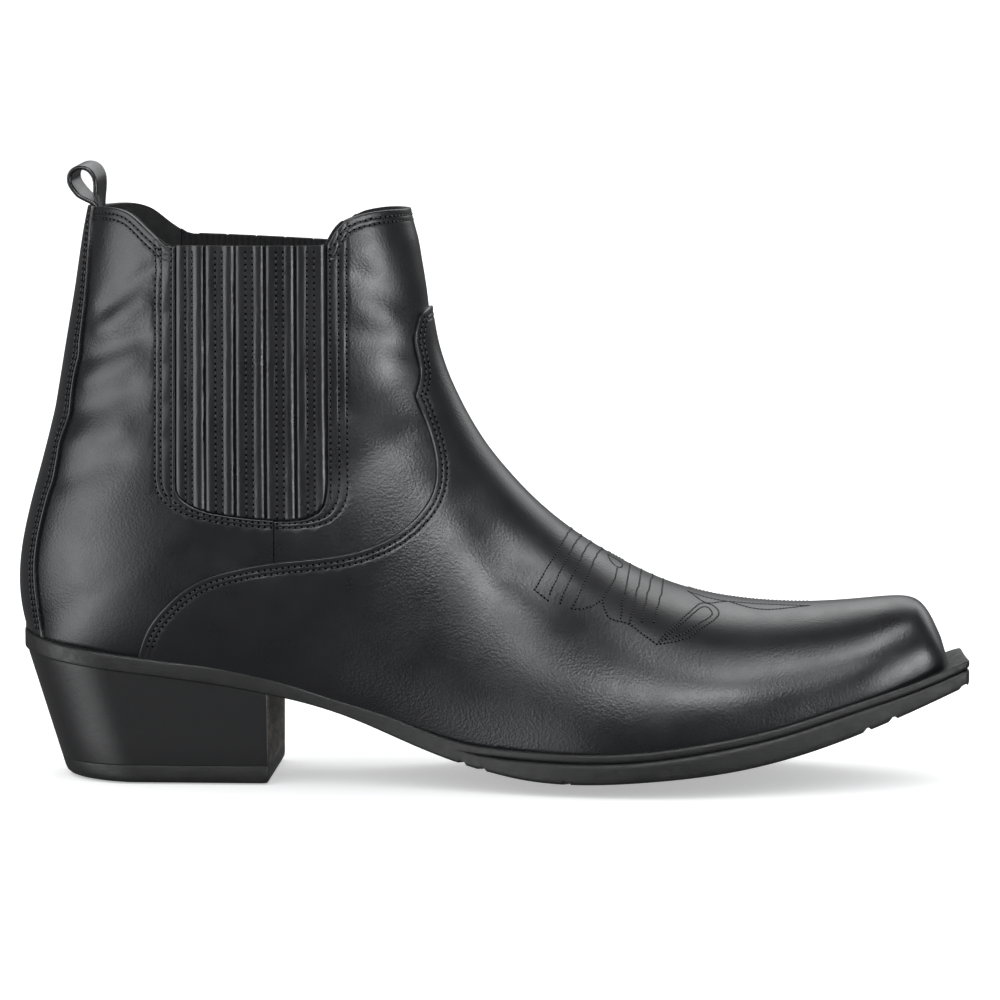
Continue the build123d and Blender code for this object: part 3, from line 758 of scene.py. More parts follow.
def heel_finish():
    """Painted black, with the bare stacked layers showing brown on the breast."""
    g = Graph("painted_heel_stack")
    face = g.node("ShaderNodeNewGeometry")
    apart = g.node("ShaderNodeSeparateXYZ")
    g.link(face.outputs["Normal"], apart.inputs["Vector"])
    breast = g.ramp(apart.outputs["X"], 0.8, 0.95, 0.0, 1.0)
    worn = g.ramp(g.noise(0.004, 6, 0.7, stretch=(1, 1, 3)), 0.42, 0.62, 0.0, 1.0)
    mask = g.maths("MULTIPLY", breast, worn)
    g.link(g.colours(mask, (0.007, 0.007, 0.008), (0.10, 0.08, 0.062)), g.shader.inputs["Base Color"])
    g.link(g.ramp(breast, 0, 1, 0.4, 0.7), g.shader.inputs["Roughness"])
    layers = g.noise(0.0025, 6, 0.7, stretch=(1, 0.4, 1.4))
    rough = g.maths("MULTIPLY", layers, g.ramp(breast, 0, 1, 0.06, 1.0))
    g.link(g.bump(rough, 0.0012), g.shader.inputs["Normal"])
    g.set(Coat_Weight=0.15, Coat_Roughness=0.3)
    return g.material


def thread():
    g = Graph("black_waxed_thread")
    twist = g.noise(0.0004, 2)
    g.link(g.colours(twist, (0.008, 0.008, 0.009), (0.03, 0.03, 0.032)), g.shader.inputs["Base Color"])
    g.link(g.bump(twist, 0.00005), g.shader.inputs["Normal"])
    g.set(Roughness=0.42)
    return g.material


# Painted shadow: a near-black matte finish, without reflection, for the lenses that stand for the shade
# inside the needle holes.
def painted_hole_shadow():
    g = Graph("needle_hole_shadow")
    g.link(g.colours(g.noise(0.0005), (0.0005, 0.0005, 0.0005), (0.002, 0.002, 0.002)),
           g.shader.inputs["Base Color"])
    g.set(Roughness=1.0, Specular_IOR_Level=0.0)
    return g.material


def plain_inner(name, dark, light, roughness, size=0.003, metallic=0.0):
    """Finish of a piece inside the boot."""
    g = Graph(name)
    g.link(g.colours(g.noise(size, 5), dark, light), g.shader.inputs["Base Color"])
    g.link(g.bump(g.noise(size / 4, 3), 0.0001), g.shader.inputs["Normal"])
    g.set(Roughness=roughness, Metallic=metallic)
    return g.material


LEATHER_LOOK = polished_leather()
LINING_LOOK = suede_lining()
ELASTIC_LOOK = ribbed_elastic()
SOLE_LOOK = sole_rubber()
WELT_LOOK = sole_rubber("welt_finish", 0.008)
HEEL_LOOK = heel_finish()
THREAD_LOOK = thread()
HOLE_SHADOW_LOOK = painted_hole_shadow()
CLOTH_LOOK = plain_inner("cotton_doubler", (0.35, 0.33, 0.29), (0.5, 0.48, 0.42), 0.9, 0.0015)


INNER_LOOKS = {"stiffener": ("thermoplastic_stiffener", (0.55, 0.5, 0.42), (0.66, 0.6, 0.5), 0.55),
               "fibre_board": ("pressed_fibre_board", (0.3, 0.2, 0.12), (0.42, 0.3, 0.19), 0.85),
               "cork": ("ground_cork", (0.35, 0.22, 0.12), (0.55, 0.38, 0.22), 0.9),
               "steel": ("blued_steel", (0.3, 0.31, 0.33), (0.42, 0.43, 0.45), 0.35),
               "nail_brass": ("yellow_brass", (0.6, 0.42, 0.16), (0.75, 0.56, 0.25), 0.35)}


def dress_inner_pieces():
    """Procedural finishes for the pieces that keep their CAD shape."""
    made = {}
    for piece in bpy.data.objects:
        if piece.type != "MESH":
            continue
        for slot in piece.material_slots:
            name = slot.material.name.split(".")[0] if slot.material else ""
            key = next((look for look in INNER_LOOKS if look in name), None)
            if key is None and "lining_leather" in name:
                slot.material = LINING_LOOK
            if key is None:
                continue
            if key not in made:
                look, dark, light, roughness = INNER_LOOKS[key]
                metal = 1.0 if key in ("steel", "nail_brass") else 0.0
                made[key] = plain_inner(look, dark, light, roughness, metallic=metal)
            slot.material = made[key]


def dress(piece, *looks):
    for look in looks:
        piece.data.materials.append(look)
    return piece


# ---- the upper ----

def inside_of(field, distance):
    """The field read from a line parallel to its edge, further in."""
    return lambda points, normals: field(points, normals) - distance


ROW_HALF = 0.55                    # half width of the groove that a sewn row presses in
ROW_DEPTH = 0.16
TOP_ROWS = (2.1, 3.9)              # distances of the sewn rows from the edges they follow
VAMP_ROWS = (2.0, 3.7)
STAY_ROWS = (1.3, 2.9)


def row_levels(rows):
    return sum(((row - ROW_HALF, row, row + ROW_HALF) for row in rows), ())


def row_groove(distance, rows):
    """Depth pressed in at a distance from an edge by the rows sewn along it."""
    depth = np.zeros(len(distance))
    for row in rows:
        depth = np.maximum(depth, ROW_DEPTH * np.exp(-((distance - row) / (0.6 * ROW_HALF)) ** 2))
    return depth


def row_chain(points):
    """A straight run down, then the smooth curve through the rest."""
    return np.concatenate([points[:1], dense(points[1:])]) if len(points) > 2 else np.array(points)


def row_field(points):
    """Signed distance to a sewn row that runs down and off to the side."""
    chain = row_chain(points)
    return Region(chain, (chain[-1][0], -FAR), (chain[-1][0] + FAR, -FAR), (FAR, 205.0))


def bend_with_front(piece):
    """The vamp and what is sewn to it bends from the foot to the shaft front."""
    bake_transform(piece, "boot", "shaft_front_panel", (0.1, 0, 0.078), (0.09, 0, 0.14))


def stretch_with_gore(piece):
    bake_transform(piece, "boot", "shaft_front_panel", (0.0055, 0, 0.13), (0.0535, 0, 0.13))


def finish_piece(piece, look, nodes):
    dress(piece, look)
    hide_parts(*nodes)
    return piece


def build_vamp():
    edge = vamp_region()
    piece = panel("vamp_upper", (-1, 1), 0.0, LEATHER, (edge, above_sole), (edge,), rows=(-0.98, 22),
                  step=1.75, grooves=((edge, VAMP_ROWS),))
    finish_piece(piece, LEATHER_LOOK, ["vamp"])
    bend_with_front(piece)


def build_shaft_front():
    gore = gore_region(JOIN_GAP, outside=True)
    above_lap = vamp_region(VAMP_OVERLAP, outside=True)
    cuts = (ahead_of(SEAM_X), above(SEAM_FOOT_Z), gore, above_lap, below_topline)
    piece = panel("shaft_front_upper", (-1, 1), LEATHER, 2 * LEATHER, cuts, (gore, below_topline),
                  rows=(8, LAST), columns=(0.4, 2.0), step=1.5,
                  grooves=((below_topline, TOP_ROWS),), lines=[row_field(row) for row in FRONT_ROWS])
    finish_piece(piece, LEATHER_LOOK, ["shaft_front"])
    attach(piece, "shaft_front_panel")


def build_quarter(side, name):
    gore = gore_region(0, outside=True)
    above_lap = vamp_region(VAMP_OVERLAP, outside=True)
    cuts = (behind_of(SEAM_X - JOIN_GAP), gore, above_lap, below_topline, above_sole)
    piece = panel(f"quarter_upper_{name}", (side,), LEATHER, 2 * LEATHER, cuts, (gore, below_topline),
                  rows=(9, LAST), columns=(0.0, 1.6), step=1.5,
                  grooves=((below_topline, TOP_ROWS),), lines=[row_field(row) for row in QUARTER_ROWS])
    finish_piece(piece, LEATHER_LOOK, [f"quarter_{name}"])
    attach(piece, "boot")


def build_back_stay():
    cuts = (behind_stay_edge, vamp_region(0, outside=True), below_topline, above_sole)
    piece = panel("back_stay_upper", (-1, 1), 0.0, LEATHER, cuts, (behind_stay_edge, below_topline),
                  rows=(14, LAST), columns=(0.0, 0.8), step=1.5, grooves=((behind_stay_edge, STAY_ROWS),))
    finish_piece(piece, LEATHER_LOOK, ["back_stay"])
    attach(piece, "boot")


STRIP_RISE = 0.55
STRIP_LEVELS = (0.05, 0.25, 0.6, 1.2, 2.2, 3.1, 3.7, 4.3, 4.9, 5.5, 6.1, 6.8, 7.6, 8.3, 8.7, 8.95, 9.1)


def strip_shape(t):
    """Height over a strip at share t of its width: low edges, two sewn rows, a fuller front fold."""
    rim = np.sqrt(np.clip(1 - (2 * t - 1) ** 8, 0, 1))
    rear = 0.30 * np.exp(-((t - 0.17) / 0.14) ** 2)
    front = STRIP_RISE * np.exp(-((t - 0.80) / 0.15) ** 2)
    rows = 0.16 * np.exp(-((t - 0.36) / 0.05) ** 2) + 0.16 * np.exp(-((t - 0.60) / 0.05) ** 2)
    return 0.75 * rim - 0.6 + rear + front - rows


def strip_span(k):
    """Back and front edge of strip k as x."""
    pitch = (GORE_X[1] - GORE_X[0]) / STRIPS
    left = GORE_X[0] + k * pitch + STRIP_GAP / 2
    return left, left + pitch - STRIP_GAP


def build_strip(side, name, k):
    left, right = strip_span(k)
    across = ahead_of(left)
    opening = gore_region(-STRIP_GAP / 2)
    cuts = (across, behind_of(right), opening, inside_of(below_topline, -STRIP_PROUD))

    def shape(points, sides, fields):
        return strip_shape(np.clip((points[:, 0] - left) / (right - left), 0, 1))

    piece = panel(f"gore_strip_leather_{name}_{k + 1}", (side,), LEATHER, 2 * LEATHER + 0.05, cuts,
                  (opening,), rows=(13, LAST), columns=(0.5, 1.55), step=2.0,
                  shape=shape, extra=((across, STRIP_LEVELS),))
    finish_piece(piece, LEATHER_LOOK, [f"gore_strip_{name}_{k + 1}"])
    stretch_with_gore(piece)


def build_elastic(side, name):
    cuts = (gore_region(ELASTIC_MARGIN), inside_of(below_topline, -ELASTIC_PROUD))
    piece = panel(f"gore_elastic_web_{name}", (side,), 2 * LEATHER, 2 * LEATHER + LINING, cuts,
                  rows=(12, LAST), columns=(0.4, 1.65), step=2.2)
    finish_piece(piece, ELASTIC_LOOK, [f"gore_elastic_{name}"])
    stretch_with_gore(piece)


def build_linings():
    """Linings of the shaft and the vamp, and the cloth between vamp and lining."""
    counter = Region(dense(COUNTER_TOP), (24, -FAR), (-60, -FAR), outside=True)
    lap = vamp_region(LINING_LAP, outside=True)
    no_elastic = gore_region(ELASTIC_MARGIN + JOIN_GAP, outside=True)
    inner = 2 * LEATHER + LINING
    for side, name in ((-1, "lateral"), (1, "medial")):
        cuts = (behind_of(SEAM_X - JOIN_GAP), no_elastic, lap, counter, below_topline, above_sole)
        piece = panel(f"quarter_lining_{name}_leather", (side,), 2 * LEATHER, inner, cuts, (below_topline,),
                      rows=(9, LAST), columns=(0.0, 1.6), step=2.2)
        finish_piece(piece, LINING_LOOK, [f"quarter_lining_{name}"])
        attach(piece, "boot")
    cuts = (ahead_of(SEAM_X), above(SEAM_FOOT_Z), no_elastic, lap, below_topline)
    piece = panel("front_lining_leather", (-1, 1), 2 * LEATHER, inner, cuts, (below_topline,),
                  rows=(8, LAST), columns=(0.4, 2.0), step=2.2)
    finish_piece(piece, LINING_LOOK, ["front_lining"])
    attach(piece, "shaft_front_panel")
    cuts = (vamp_region(LINING_LAP + JOIN_GAP), counter, above_sole)
    piece = panel("vamp_lining_leather", (-1, 1), 2 * LEATHER, inner, cuts, rows=(0.5, 22), step=2.4)
    finish_piece(piece, LINING_LOOK, ["vamp_lining"])
    bend_with_front(piece)
    cuts = (vamp_region(VAMP_OVERLAP + JOIN_GAP), behind_of(PUFF_X - JOIN_GAP), above_sole)
    piece = panel("vamp_doubler_cloth", (-1, 1), LEATHER, 2 * LEATHER, cuts, rows=(4, 22), step=2.6)
    finish_piece(piece, CLOTH_LOOK, ["vamp_doubler"])
    bend_with_front(piece)


# ---- sole and heel ----

SIDE_COUNT = 520                   # points along each side of the plan, heel to toe
TOE_COUNT = 27                     # points across the toe's front, an odd number
TOE_CORNER = 2.4


def plan_side(edge, inset, side):
    """One side of the sole's plan from the middle of the heel's back to the toe corner."""
    radius = HEEL_RADIUS - inset
    turns = np.radians(np.arange(180, 90, -3))
    seat = [(HEEL_CENTRE_X + radius * math.cos(a), radius * math.sin(a)) for a in turns]
    rest = [(x - inset * (x > 250), abs(y) - inset if x < 262 else abs(y) - 0.7 * inset) for x, y in edge]
    run = dense([(HEEL_CENTRE_X, radius), (5, radius)] + rest, 0.5)
    points = np.concatenate([seat, run])
    return points * (1, side)


def rounded_corner(before, corner, after, radius, count):
    """Points of a smooth turn that replaces a corner."""
    start = corner + (before - corner) / np.linalg.norm(before - corner) * radius
    end = corner + (after - corner) / np.linalg.norm(after - corner) * radius
    t = np.linspace(0, 1, count)[:, None]
    return (1 - t) ** 2 * start + 2 * t * (1 - t) * corner + t ** 2 * end


def sole_plan(inset):
    """Closed plan of the sole, in the same number of points at every inset."""
    lateral = plan_side(LATERAL_EDGE, inset, -1)
    medial = plan_side(MEDIAL_EDGE, inset, 1)
    corner_l = lateral[-1]
    corner_m = medial[-1]
    toe = [rounded_corner(lateral[-8], corner_l, corner_m, TOE_CORNER, 9),
           rounded_corner(corner_l, corner_m, medial[-8], TOE_CORNER, 9)]
    front = np.linspace(toe[0][-1], toe[1][0], TOE_COUNT - 18 + 2)[1:-1]
    toe = np.concatenate([toe[0], front, toe[1]])
    sides = []
    for chain, end in ((lateral, toe[0]), (medial, toe[-1])):
        along = lengths(chain)
        reach = along[np.argmin(np.linalg.norm(chain - end, axis=1))]
        at = np.linspace(0, reach, SIDE_COUNT + 1)
        sides.append(np.stack([np.interp(at, along, chain[:, k]) for k in range(2)], axis=1))
    return np.concatenate([sides[0][:-1], toe, sides[1][:0:-1][1:]])


def across(ring, shares):
    """Rows of points between opposite points of a closed ring, heel end first."""
    count = len(ring)
    half = count // 2
    left = ring[1:half + (count % 2)]
    right = ring[:half:-1][:len(left)]
    return np.stack([left + (right - left) * s for s in shares], axis=1)


def ring_shell(name, rings, closed=False, cap_steps=12, cap_height=(None, None)):
    """Skin over rings of equal length, whose ends are capped by rows across or meet each other."""
    count = len(rings[0])
    points = [np.asarray(ring) for ring in rings]
    faces = []
    levels = len(rings)
    for k in range(levels if closed else levels - 1):
        a = k * count
        b = ((k + 1) % levels) * count
        for i in range(count):
            j = (i + 1) % count
            faces.append([a + i, a + j, b + j, b + i])
    if not closed:
        total = levels * count
        for end, (start, height) in enumerate(zip((0, (levels - 1) * count), cap_height)):
            ring = points[0] if end == 0 else points[levels - 1]
            shares = np.linspace(0, 1, cap_steps + 1)[1:-1]
            rows = across(ring, shares)
            if height is not None:
                rows[..., 2] = height(rows[..., 0], rows[..., 1])
            points.append(rows.reshape(-1, 3))
            row_count, width = rows.shape[:2]

            def corner(i, j):
                if j == 0:
                    return start + 1 + i
                if j == width + 1:
                    return start + count - 1 - i
                return total + i * width + j - 1

            found = []
            for i in range(row_count - 1):
                for j in range(width + 1):
                    found.append([corner(i, j), corner(i, j + 1), corner(i + 1, j + 1), corner(i + 1, j)])
            first = [corner(0, j) for j in range(width + 2)]
            last = [corner(row_count - 1, j) for j in range(width + 2)]
            found.append([start] + first[::-1])
            tail = [start + i for i in range(1 + row_count, count - row_count)]
            found.append(last + tail[::-1])
            faces += found if end == 0 else [face[::-1] for face in found]
            total += row_count * width
    return finish_mesh(name, np.concatenate(points), faces, sharp=35.0)


TREAD_OPEN = (99.0, 106.0, 135.0, 230.0, 238.0, 260.0)      # grooves that reach the sole's edge
TREAD_INNER = (116.0, 125.0, 145.0, 154.0, 163.0, 172.0, 181.0, 190.0, 199.0, 208.0, 217.0)
TREAD_DEPTH = 1.1
TREAD_HALF = 0.9


def tread(x, y):
    """Depth of the tread's cross grooves."""
    depth = np.zeros(np.shape(x))
    for bars, margin in ((TREAD_OPEN, 0.0), (TREAD_INNER, 6.0)):
        for bar in bars:
            line = bar - 0.14 * (np.abs(y) - 34)
            cut = np.clip((TREAD_HALF + 0.3 - np.abs(x - line)) / 0.5, 0, 1)
            cut = cut * (np.abs(y) > 8)
            if margin:
                cut = cut * (np.abs(y) < np.interp(x, EDGE_X, EDGE_Y) - margin)
            depth = np.maximum(depth, TREAD_DEPTH * cut)
    return depth


EDGE_X = [x for x, y in LATERAL_EDGE]
EDGE_Y = [min(abs(y), abs(m)) for (x, y), (n, m) in zip(LATERAL_EDGE, MEDIAL_EDGE)]
SEAM_LINE = (96.0, 110.0)          # the line between welt and outsole fades in between these x


def line_strength(x):
    return np.clip((x - SEAM_LINE[0]) / (SEAM_LINE[1] - SEAM_LINE[0]), 0, 1)


def inset_plan(inset, at_line):
    """The plan set in; an inset at the line between welt and outsole fades towards the heel."""
    full = sole_plan(inset)
    if not at_line or inset == 0:
        return full
    plain = sole_plan(0.0)
    share = line_strength(plain[:, 0])[:, None]
    return plain * (1 - share) + full * share


# Inset from the plan, drop below the sole's top edge, and whether the point belongs to the line between
# welt and outsole. The outsole's drop is a share of its thickness.
WELT_SECTION = ((11.0, 0.0, False), (6.0, 0.0, False), (2.2, 0.0, False), (0.9, 0.05, False),
                (0.35, 0.22, False), (0.06, 0.6, False), (0.0, 1.1, False), (0.0, 1.9, False),
                (0.05, 2.3, True), (0.22, 2.65, True), (0.6, 2.9, True), (1.0, 3.0, True), (11.0, 3.0, False))
OUTSOLE_SECTION = ((1.0, 0.0, True), (0.6, 0.04, True), (0.22, 0.1, True), (0.05, 0.18, True),
                   (0.0, 0.3, False), (0.0, 0.75, False), (0.06, 0.87, False), (0.25, 0.95, False),
                   (0.7, 1.0, False), (1.6, 1.0, False))


def build_welt():
    rings = []
    for inset, drop, at_line in WELT_SECTION:
        plan = inset_plan(inset, at_line)
        rings.append(np.column_stack([plan, sole_top(plan[:, 0], plan[:, 1]) - drop]))
    piece = ring_shell("welt_ring", rings, closed=True)
    finish_piece(piece, WELT_LOOK, ["welt"])
    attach(piece, "boot")


def build_outsole():
    rings = []
    for inset, share, at_line in OUTSOLE_SECTION:
        plan = inset_plan(inset, at_line)
        x, y = plan[:, 0], plan[:, 1]
        top = sole_top(x, y) - WELT
        bottom = sole_bottom(x, y)
        rings.append(np.column_stack([plan, np.maximum(top + (bottom - top) * share, bottom + tread(x, y))]))

    def under_welt(x, y):
        return sole_top(x, y) - WELT

    def tread_face(x, y):
        return sole_bottom(x, y) + tread(x, y)

    piece = ring_shell("outsole_rubber", rings, cap_steps=36, cap_height=(under_welt, tread_face))
    finish_piece(piece, SOLE_LOOK, ["outsole"])
    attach(piece, "boot")


def heel_plan(z, inset):
    """Closed D-shaped plan of the heel; z and inset may differ from point to point."""
    turns = np.radians(np.linspace(180, 90, 61))
    runs = np.linspace(0, 1, 40)[1:]
    corner = np.radians(np.linspace(90, 0, 8))
    count = len(turns) + len(runs) + len(corner)
    total = 2 * count
    z = np.broadcast_to(z, (total,))
    inset = np.broadcast_to(inset, (total,))
    share = z / HEEL_TOP_Z
    back = HEEL_FOOT[0] + (HEEL_TOP[0] - HEEL_FOOT[0]) * share + inset
    half = HEEL_FOOT[1] + (HEEL_TOP[1] - HEEL_FOOT[1]) * share - inset
    front = BREAST_X - inset
    radius = 1.0
    x = np.zeros(total)
    y = np.zeros(total)
    for k in range(total):
        i = k if k < count else total - k
        side = -1 if k < count else 1
        if i < len(turns):
            x[k] = back[k] + half[k] * (1 + math.cos(turns[i]))
            y[k] = side * half[k] * math.sin(turns[i])
        elif i < len(turns) + len(runs):
            x[k] = back[k] + half[k] + (front[k] - radius - back[k] - half[k]) * runs[i - len(turns)]
            y[k] = side * half[k]
        elif i < count:
            a = corner[i - len(turns) - len(runs)]
            x[k] = front[k] - radius + radius * math.cos(a)
            y[k] = side * (half[k] - radius + radius * math.sin(a))
        else:
            x[k] = front[k]
            y[k] = 0.0
    return np.column_stack([x, y])


# The heel block by share of its height and the top piece by height, each with its inset.
HEEL_SECTION = ((1.0, 0.35), (0.985, 0.3), (0.97, 0.08), (0.95, 0.0), (0.75, 0.0), (0.5, 0.0), (0.25, 0.0),
                (0.012, 0.0), (0.004, 0.04), (0.0, 0.1))
TOP_PIECE_SECTION = ((TOP_PIECE, 0.2), (TOP_PIECE - 0.12, 0.06), (TOP_PIECE - 0.35, 0.0), (2.6, 0.0),
                     (1.3, 0.12), (0.55, 0.42), (0.15, 0.85), (0.0, 1.5))


def build_heel():
    probe = heel_plan(HEEL_TOP_Z, 0.0)
    for _ in range(3):
        top = sole_bottom(probe[:, 0], probe[:, 1])
        probe = heel_plan(top, 0.0)
    rings = []
    notch = np.clip((-46 - probe[:, 0]) / 4, 0.12, 1)
    for share, inset in HEEL_SECTION:
        z = TOP_PIECE + (top - TOP_PIECE) * share
        inset = inset * notch if share > 0.9 else inset
        rings.append(np.column_stack([heel_plan(z, inset), z]))
    piece = ring_shell("heel_block_body", rings, cap_steps=10, cap_height=(sole_bottom, None))
    finish_piece(piece, HEEL_LOOK, ["heel_block"])
    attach(piece, "boot")
    rings = []
    rear = np.clip((-24 - probe[:, 0]) / 14, 0, 1)
    for z, inset in TOP_PIECE_SECTION:
        worn = inset * (1 + 1.1 * rear * (z < 3))
        rings.append(np.column_stack([heel_plan(z, worn), np.full(len(probe), z)]))
    piece = ring_shell("heel_top_piece_rubber", rings, cap_steps=10)
    finish_piece(piece, SOLE_LOOK, ["heel_top_piece"])
    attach(piece, "boot")


# ---- pull loop ----

LOOP_PATH = ((-24.9, 180.5), (-25.1, 187.0), (-25.8, 190.6), (-28.4, 192.7), (-31.3, 195.6), (-32.9, 198.9),
             (-32.0, 201.8), (-29.5, 203.1), (-26.7, 202.6), (-24.8, 200.4), (-24.15, 197.0), (-24.3, 193.5),
             (-24.3, 190.5), (-23.9, 187.0), (-23.6, 180.5))
LOOP_TURN = 0.19                   # the far edge stands this much further forward, per millimetre across
LOOP_TILT = 0.14                   # and this much higher
LOOP_FREE_Z = (189.5, 194.0)       # below the first the strap is held flat in the seam


def build_loop():
    path = dense(LOOP_PATH, 0.45)
    step = np.gradient(path, axis=0)
    step /= np.linalg.norm(step, axis=1, keepdims=True)
    out = np.column_stack([-step[:, 1], step[:, 0]])
    half = STRAP[1] / 2
    thick = STRAP[0] / 2
    rim = [(half * sx - 0.55 * sx * (1 - c), thick * s) for sx, c, s in
           [(1, math.cos(a), math.sin(a)) for a in np.radians(np.arange(-90, 91, 30))]]
    outline = [(y, t) for y, t in rim] + [(y, thick) for y in np.linspace(half - 1, 1 - half, 9)]
    outline += [(-y, -t) for y, t in rim] + [(y, -thick) for y in np.linspace(1 - half, half - 1, 9)]
    free = np.clip((path[:, 1] - LOOP_FREE_Z[0]) / (LOOP_FREE_Z[1] - LOOP_FREE_Z[0]), 0, 1)
    rings = []
    for (x, z), (ox, oz), loose in zip(path, out, free):
        ring = []
        for y, t in outline:
            edge_fall = 0.12 * max(abs(y) / half - 0.75, 0) * 4
            t = t * (1 - edge_fall * 0.5)
            wrap = (1 - loose) * y * y / 48.0
            ring.append((x + ox * t + loose * LOOP_TURN * y + wrap, y * (1 - 0.03 * loose),
                         z + oz * t + loose * LOOP_TILT * y))
        rings.append(ring)
    count = len(outline)
    points = np.array(rings).reshape(-1, 3)
    faces = []
    for k in range(len(rings) - 1):
        for i in range(count):
            j = (i + 1) % count
            faces.append([k * count + i, k * count + j, (k + 1) * count + j, (k + 1) * count + i])
    faces.append(list(range(count)))
    faces.append(list(range((len(rings) - 1) * count, len(rings) * count))[::-1])
    piece = finish_mesh("pull_loop_strap", points, faces)
    finish_piece(piece, LEATHER_LOOK, ["pull_loop", "pull_loop_tails"])
    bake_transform(piece, "boot", "pull_loop", (-0.0275, 0, 0.1895), (-0.0275, 0, 0.1965))


# ---- stitching ----

STITCH_PITCH = 2.0
TOE_PITCH = 1.3                    # the decorative rows are sewn finer
STITCH_LENGTH = 1.45
THREAD_RADIUS = 0.26
HOLE_SHADOW_RADIUS = 0.36


def stitch_template():
    """A thread stitch along x: rings and faces of a short capsule that dips at both ends."""
    rings = []
    for share, size in ((-1.0, 0.25), (-0.85, 0.7), (-0.45, 1.0), (0.45, 1.0), (0.85, 0.7), (1.0, 0.25)):
        drop = -0.30 * abs(share) ** 3
        for a in np.radians(np.arange(0, 360, 60)):
            rings.append((share * STITCH_LENGTH / 2, THREAD_RADIUS * size * math.cos(a),
                          drop + THREAD_RADIUS * size * math.sin(a)))
    faces = []
    for k in range(5):
        for i in range(6):
            j = (i + 1) % 6
            faces.append([k * 6 + i, (k + 1) * 6 + i, (k + 1) * 6 + j, k * 6 + j])
    faces.append([5, 4, 3, 2, 1, 0][::-1])
    faces.append([30, 31, 32, 33, 34, 35][::-1])
    return np.array(rings), faces


def hole_shadow_template():
    """The painted shadow of a needle hole: a shallow, dark, closed lens on the surface."""
    points = [(0, 0, 0.05), (0, 0, -0.2)]
    for a in np.radians(np.arange(0, 360, 45)):
        points.append((HOLE_SHADOW_RADIUS * math.cos(a), HOLE_SHADOW_RADIUS * math.sin(a), 0.0))
    faces = []
    for i in range(8):
        j = (i + 1) % 8
        faces.append([2 + i, 2 + j, 0])
        faces.append([2 + j, 2 + i, 1])
    return np.array(points), faces


def surface_frame(u, v, side, depth):
    """Place, normal of the surface at a depth, with the shared folds."""
    place = upper_point(u, v, side)
    normal = upper_normal(u, v, side)
    place = place + normal * (relief(place, side) - depth)[:, None]
    return place, normal


def sewn_row(points, side, depth, lift=0.05):
    """Stitches along a line of side-view points: middles, directions and normals."""
    found = find_on_side(points[:, 0], points[:, 1], side)
    place, normal = surface_frame(found[:, 0], found[:, 1], np.full(len(found), float(side)), depth)
    return sewn_line(place, normal, lift)


def sewn_line(place, normal, lift=0.05, pitch=STITCH_PITCH):
    along = lengths(place)
    count = max(int(round(along[-1] / pitch)), 1)
    at = (np.arange(count) + 0.5) * along[-1] / count
    ends = np.arange(count + 1) * along[-1] / count
    reach = 0.3 * pitch

    def read(values, where):
        return np.stack([np.interp(where, along, values[:, k]) for k in range(3)], axis=1)

    holes = read(place, ends) + read(normal, ends) * 0.01
    middle = read(place, at) + read(normal, at) * lift
    direction = read(place, at + reach) - read(place, at - reach)
    return (middle, direction, read(normal, at)), (holes, read(normal, ends))


def frames(direction, normal):
    direction = direction / np.linalg.norm(direction, axis=1, keepdims=True)
    cross = np.cross(normal, direction)
    cross /= np.linalg.norm(cross, axis=1, keepdims=True)
    return direction, cross, np.cross(direction, cross)


def stitch_piece(name, rows, body=None, bend=None, size=1.0):
    """One piece of thread and painted needle-hole shadows for a group of sewn rows."""
    points = []
    faces = []
    looks = []
    total = 0
    thread_points, thread_faces = stitch_template()
    thread_points = thread_points * (size, 1, 1)
    hole_shadow_points, hole_shadow_faces = hole_shadow_template()
    for (middle, direction, normal), (holes, hole_normal) in rows:
        # Thread, and dark lenses at the needle holes that are painted shadow.
        side_axis = np.cross(hole_normal, np.array([0.3, 0.2, 0.9]))
        batches = ((middle, frames(direction, normal), thread_points, thread_faces, 0),
                   (holes, frames(side_axis, hole_normal), hole_shadow_points, hole_shadow_faces, 1))
        for places, (ax, ay, az), shape, shape_faces, look in batches:
            for k in range(len(places)):
                made = places[k] + shape[:, :1] * ax[k] + shape[:, 1:2] * ay[k] + shape[:, 2:] * az[k]
                points.append(made)
                faces += [[total + i for i in face] for face in shape_faces]
                looks += [look] * len(shape_faces)
                total += len(shape)
    piece = finish_mesh(name, np.concatenate(points), faces, sharp=80.0)
    dress(piece, THREAD_LOOK, HOLE_SHADOW_LOOK)
    piece.data.polygons.foreach_set("material_index", looks)
    if body:
        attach(piece, body)
    else:
        bend(piece)
    return piece


def surface_shift(points, side, distance):
    """The side-view line moved left by a distance that is measured on the surface."""
    moved = shifted(points, 1.0) - points
    found = find_on_side(points[:, 0], points[:, 1], side)
    normal = upper_normal(found[:, 0], found[:, 1], np.full(len(found), float(side)))
    slope = normal[:, 0] * moved[:, 0] + normal[:, 2] * moved[:, 1]
    return points + moved * distance * np.sqrt(np.clip(1 - slope ** 2, 0.08, 1))[:, None]


def between(points, low=-1e9, high=1e9, axis=1):
    return points[(points[:, axis] > low) & (points[:, axis] < high)]


def find_on_top(x, out, side):
    """(u, v) of the vamp's point at x that lies out from the ridge line, seen from above."""
    rows, columns = np.meshgrid(np.linspace(2, 11, 300), np.linspace(1.02, 2.0, 160), indexing="ij")
    rows = rows.ravel()
    columns = columns.ravel()
    grid = upper_point(rows, columns, side)
    ridge = natural(np.arange(LAST + 1), SECTIONS, rows)[:, 4]
    found = []
    for px, py in zip(x, out):
        k = int(np.argmin((grid[:, 0] - px) ** 2 + ((grid[:, 1] - ridge) * side - py) ** 2))
        found.append((rows[k], columns[k]))
    return np.array(found)


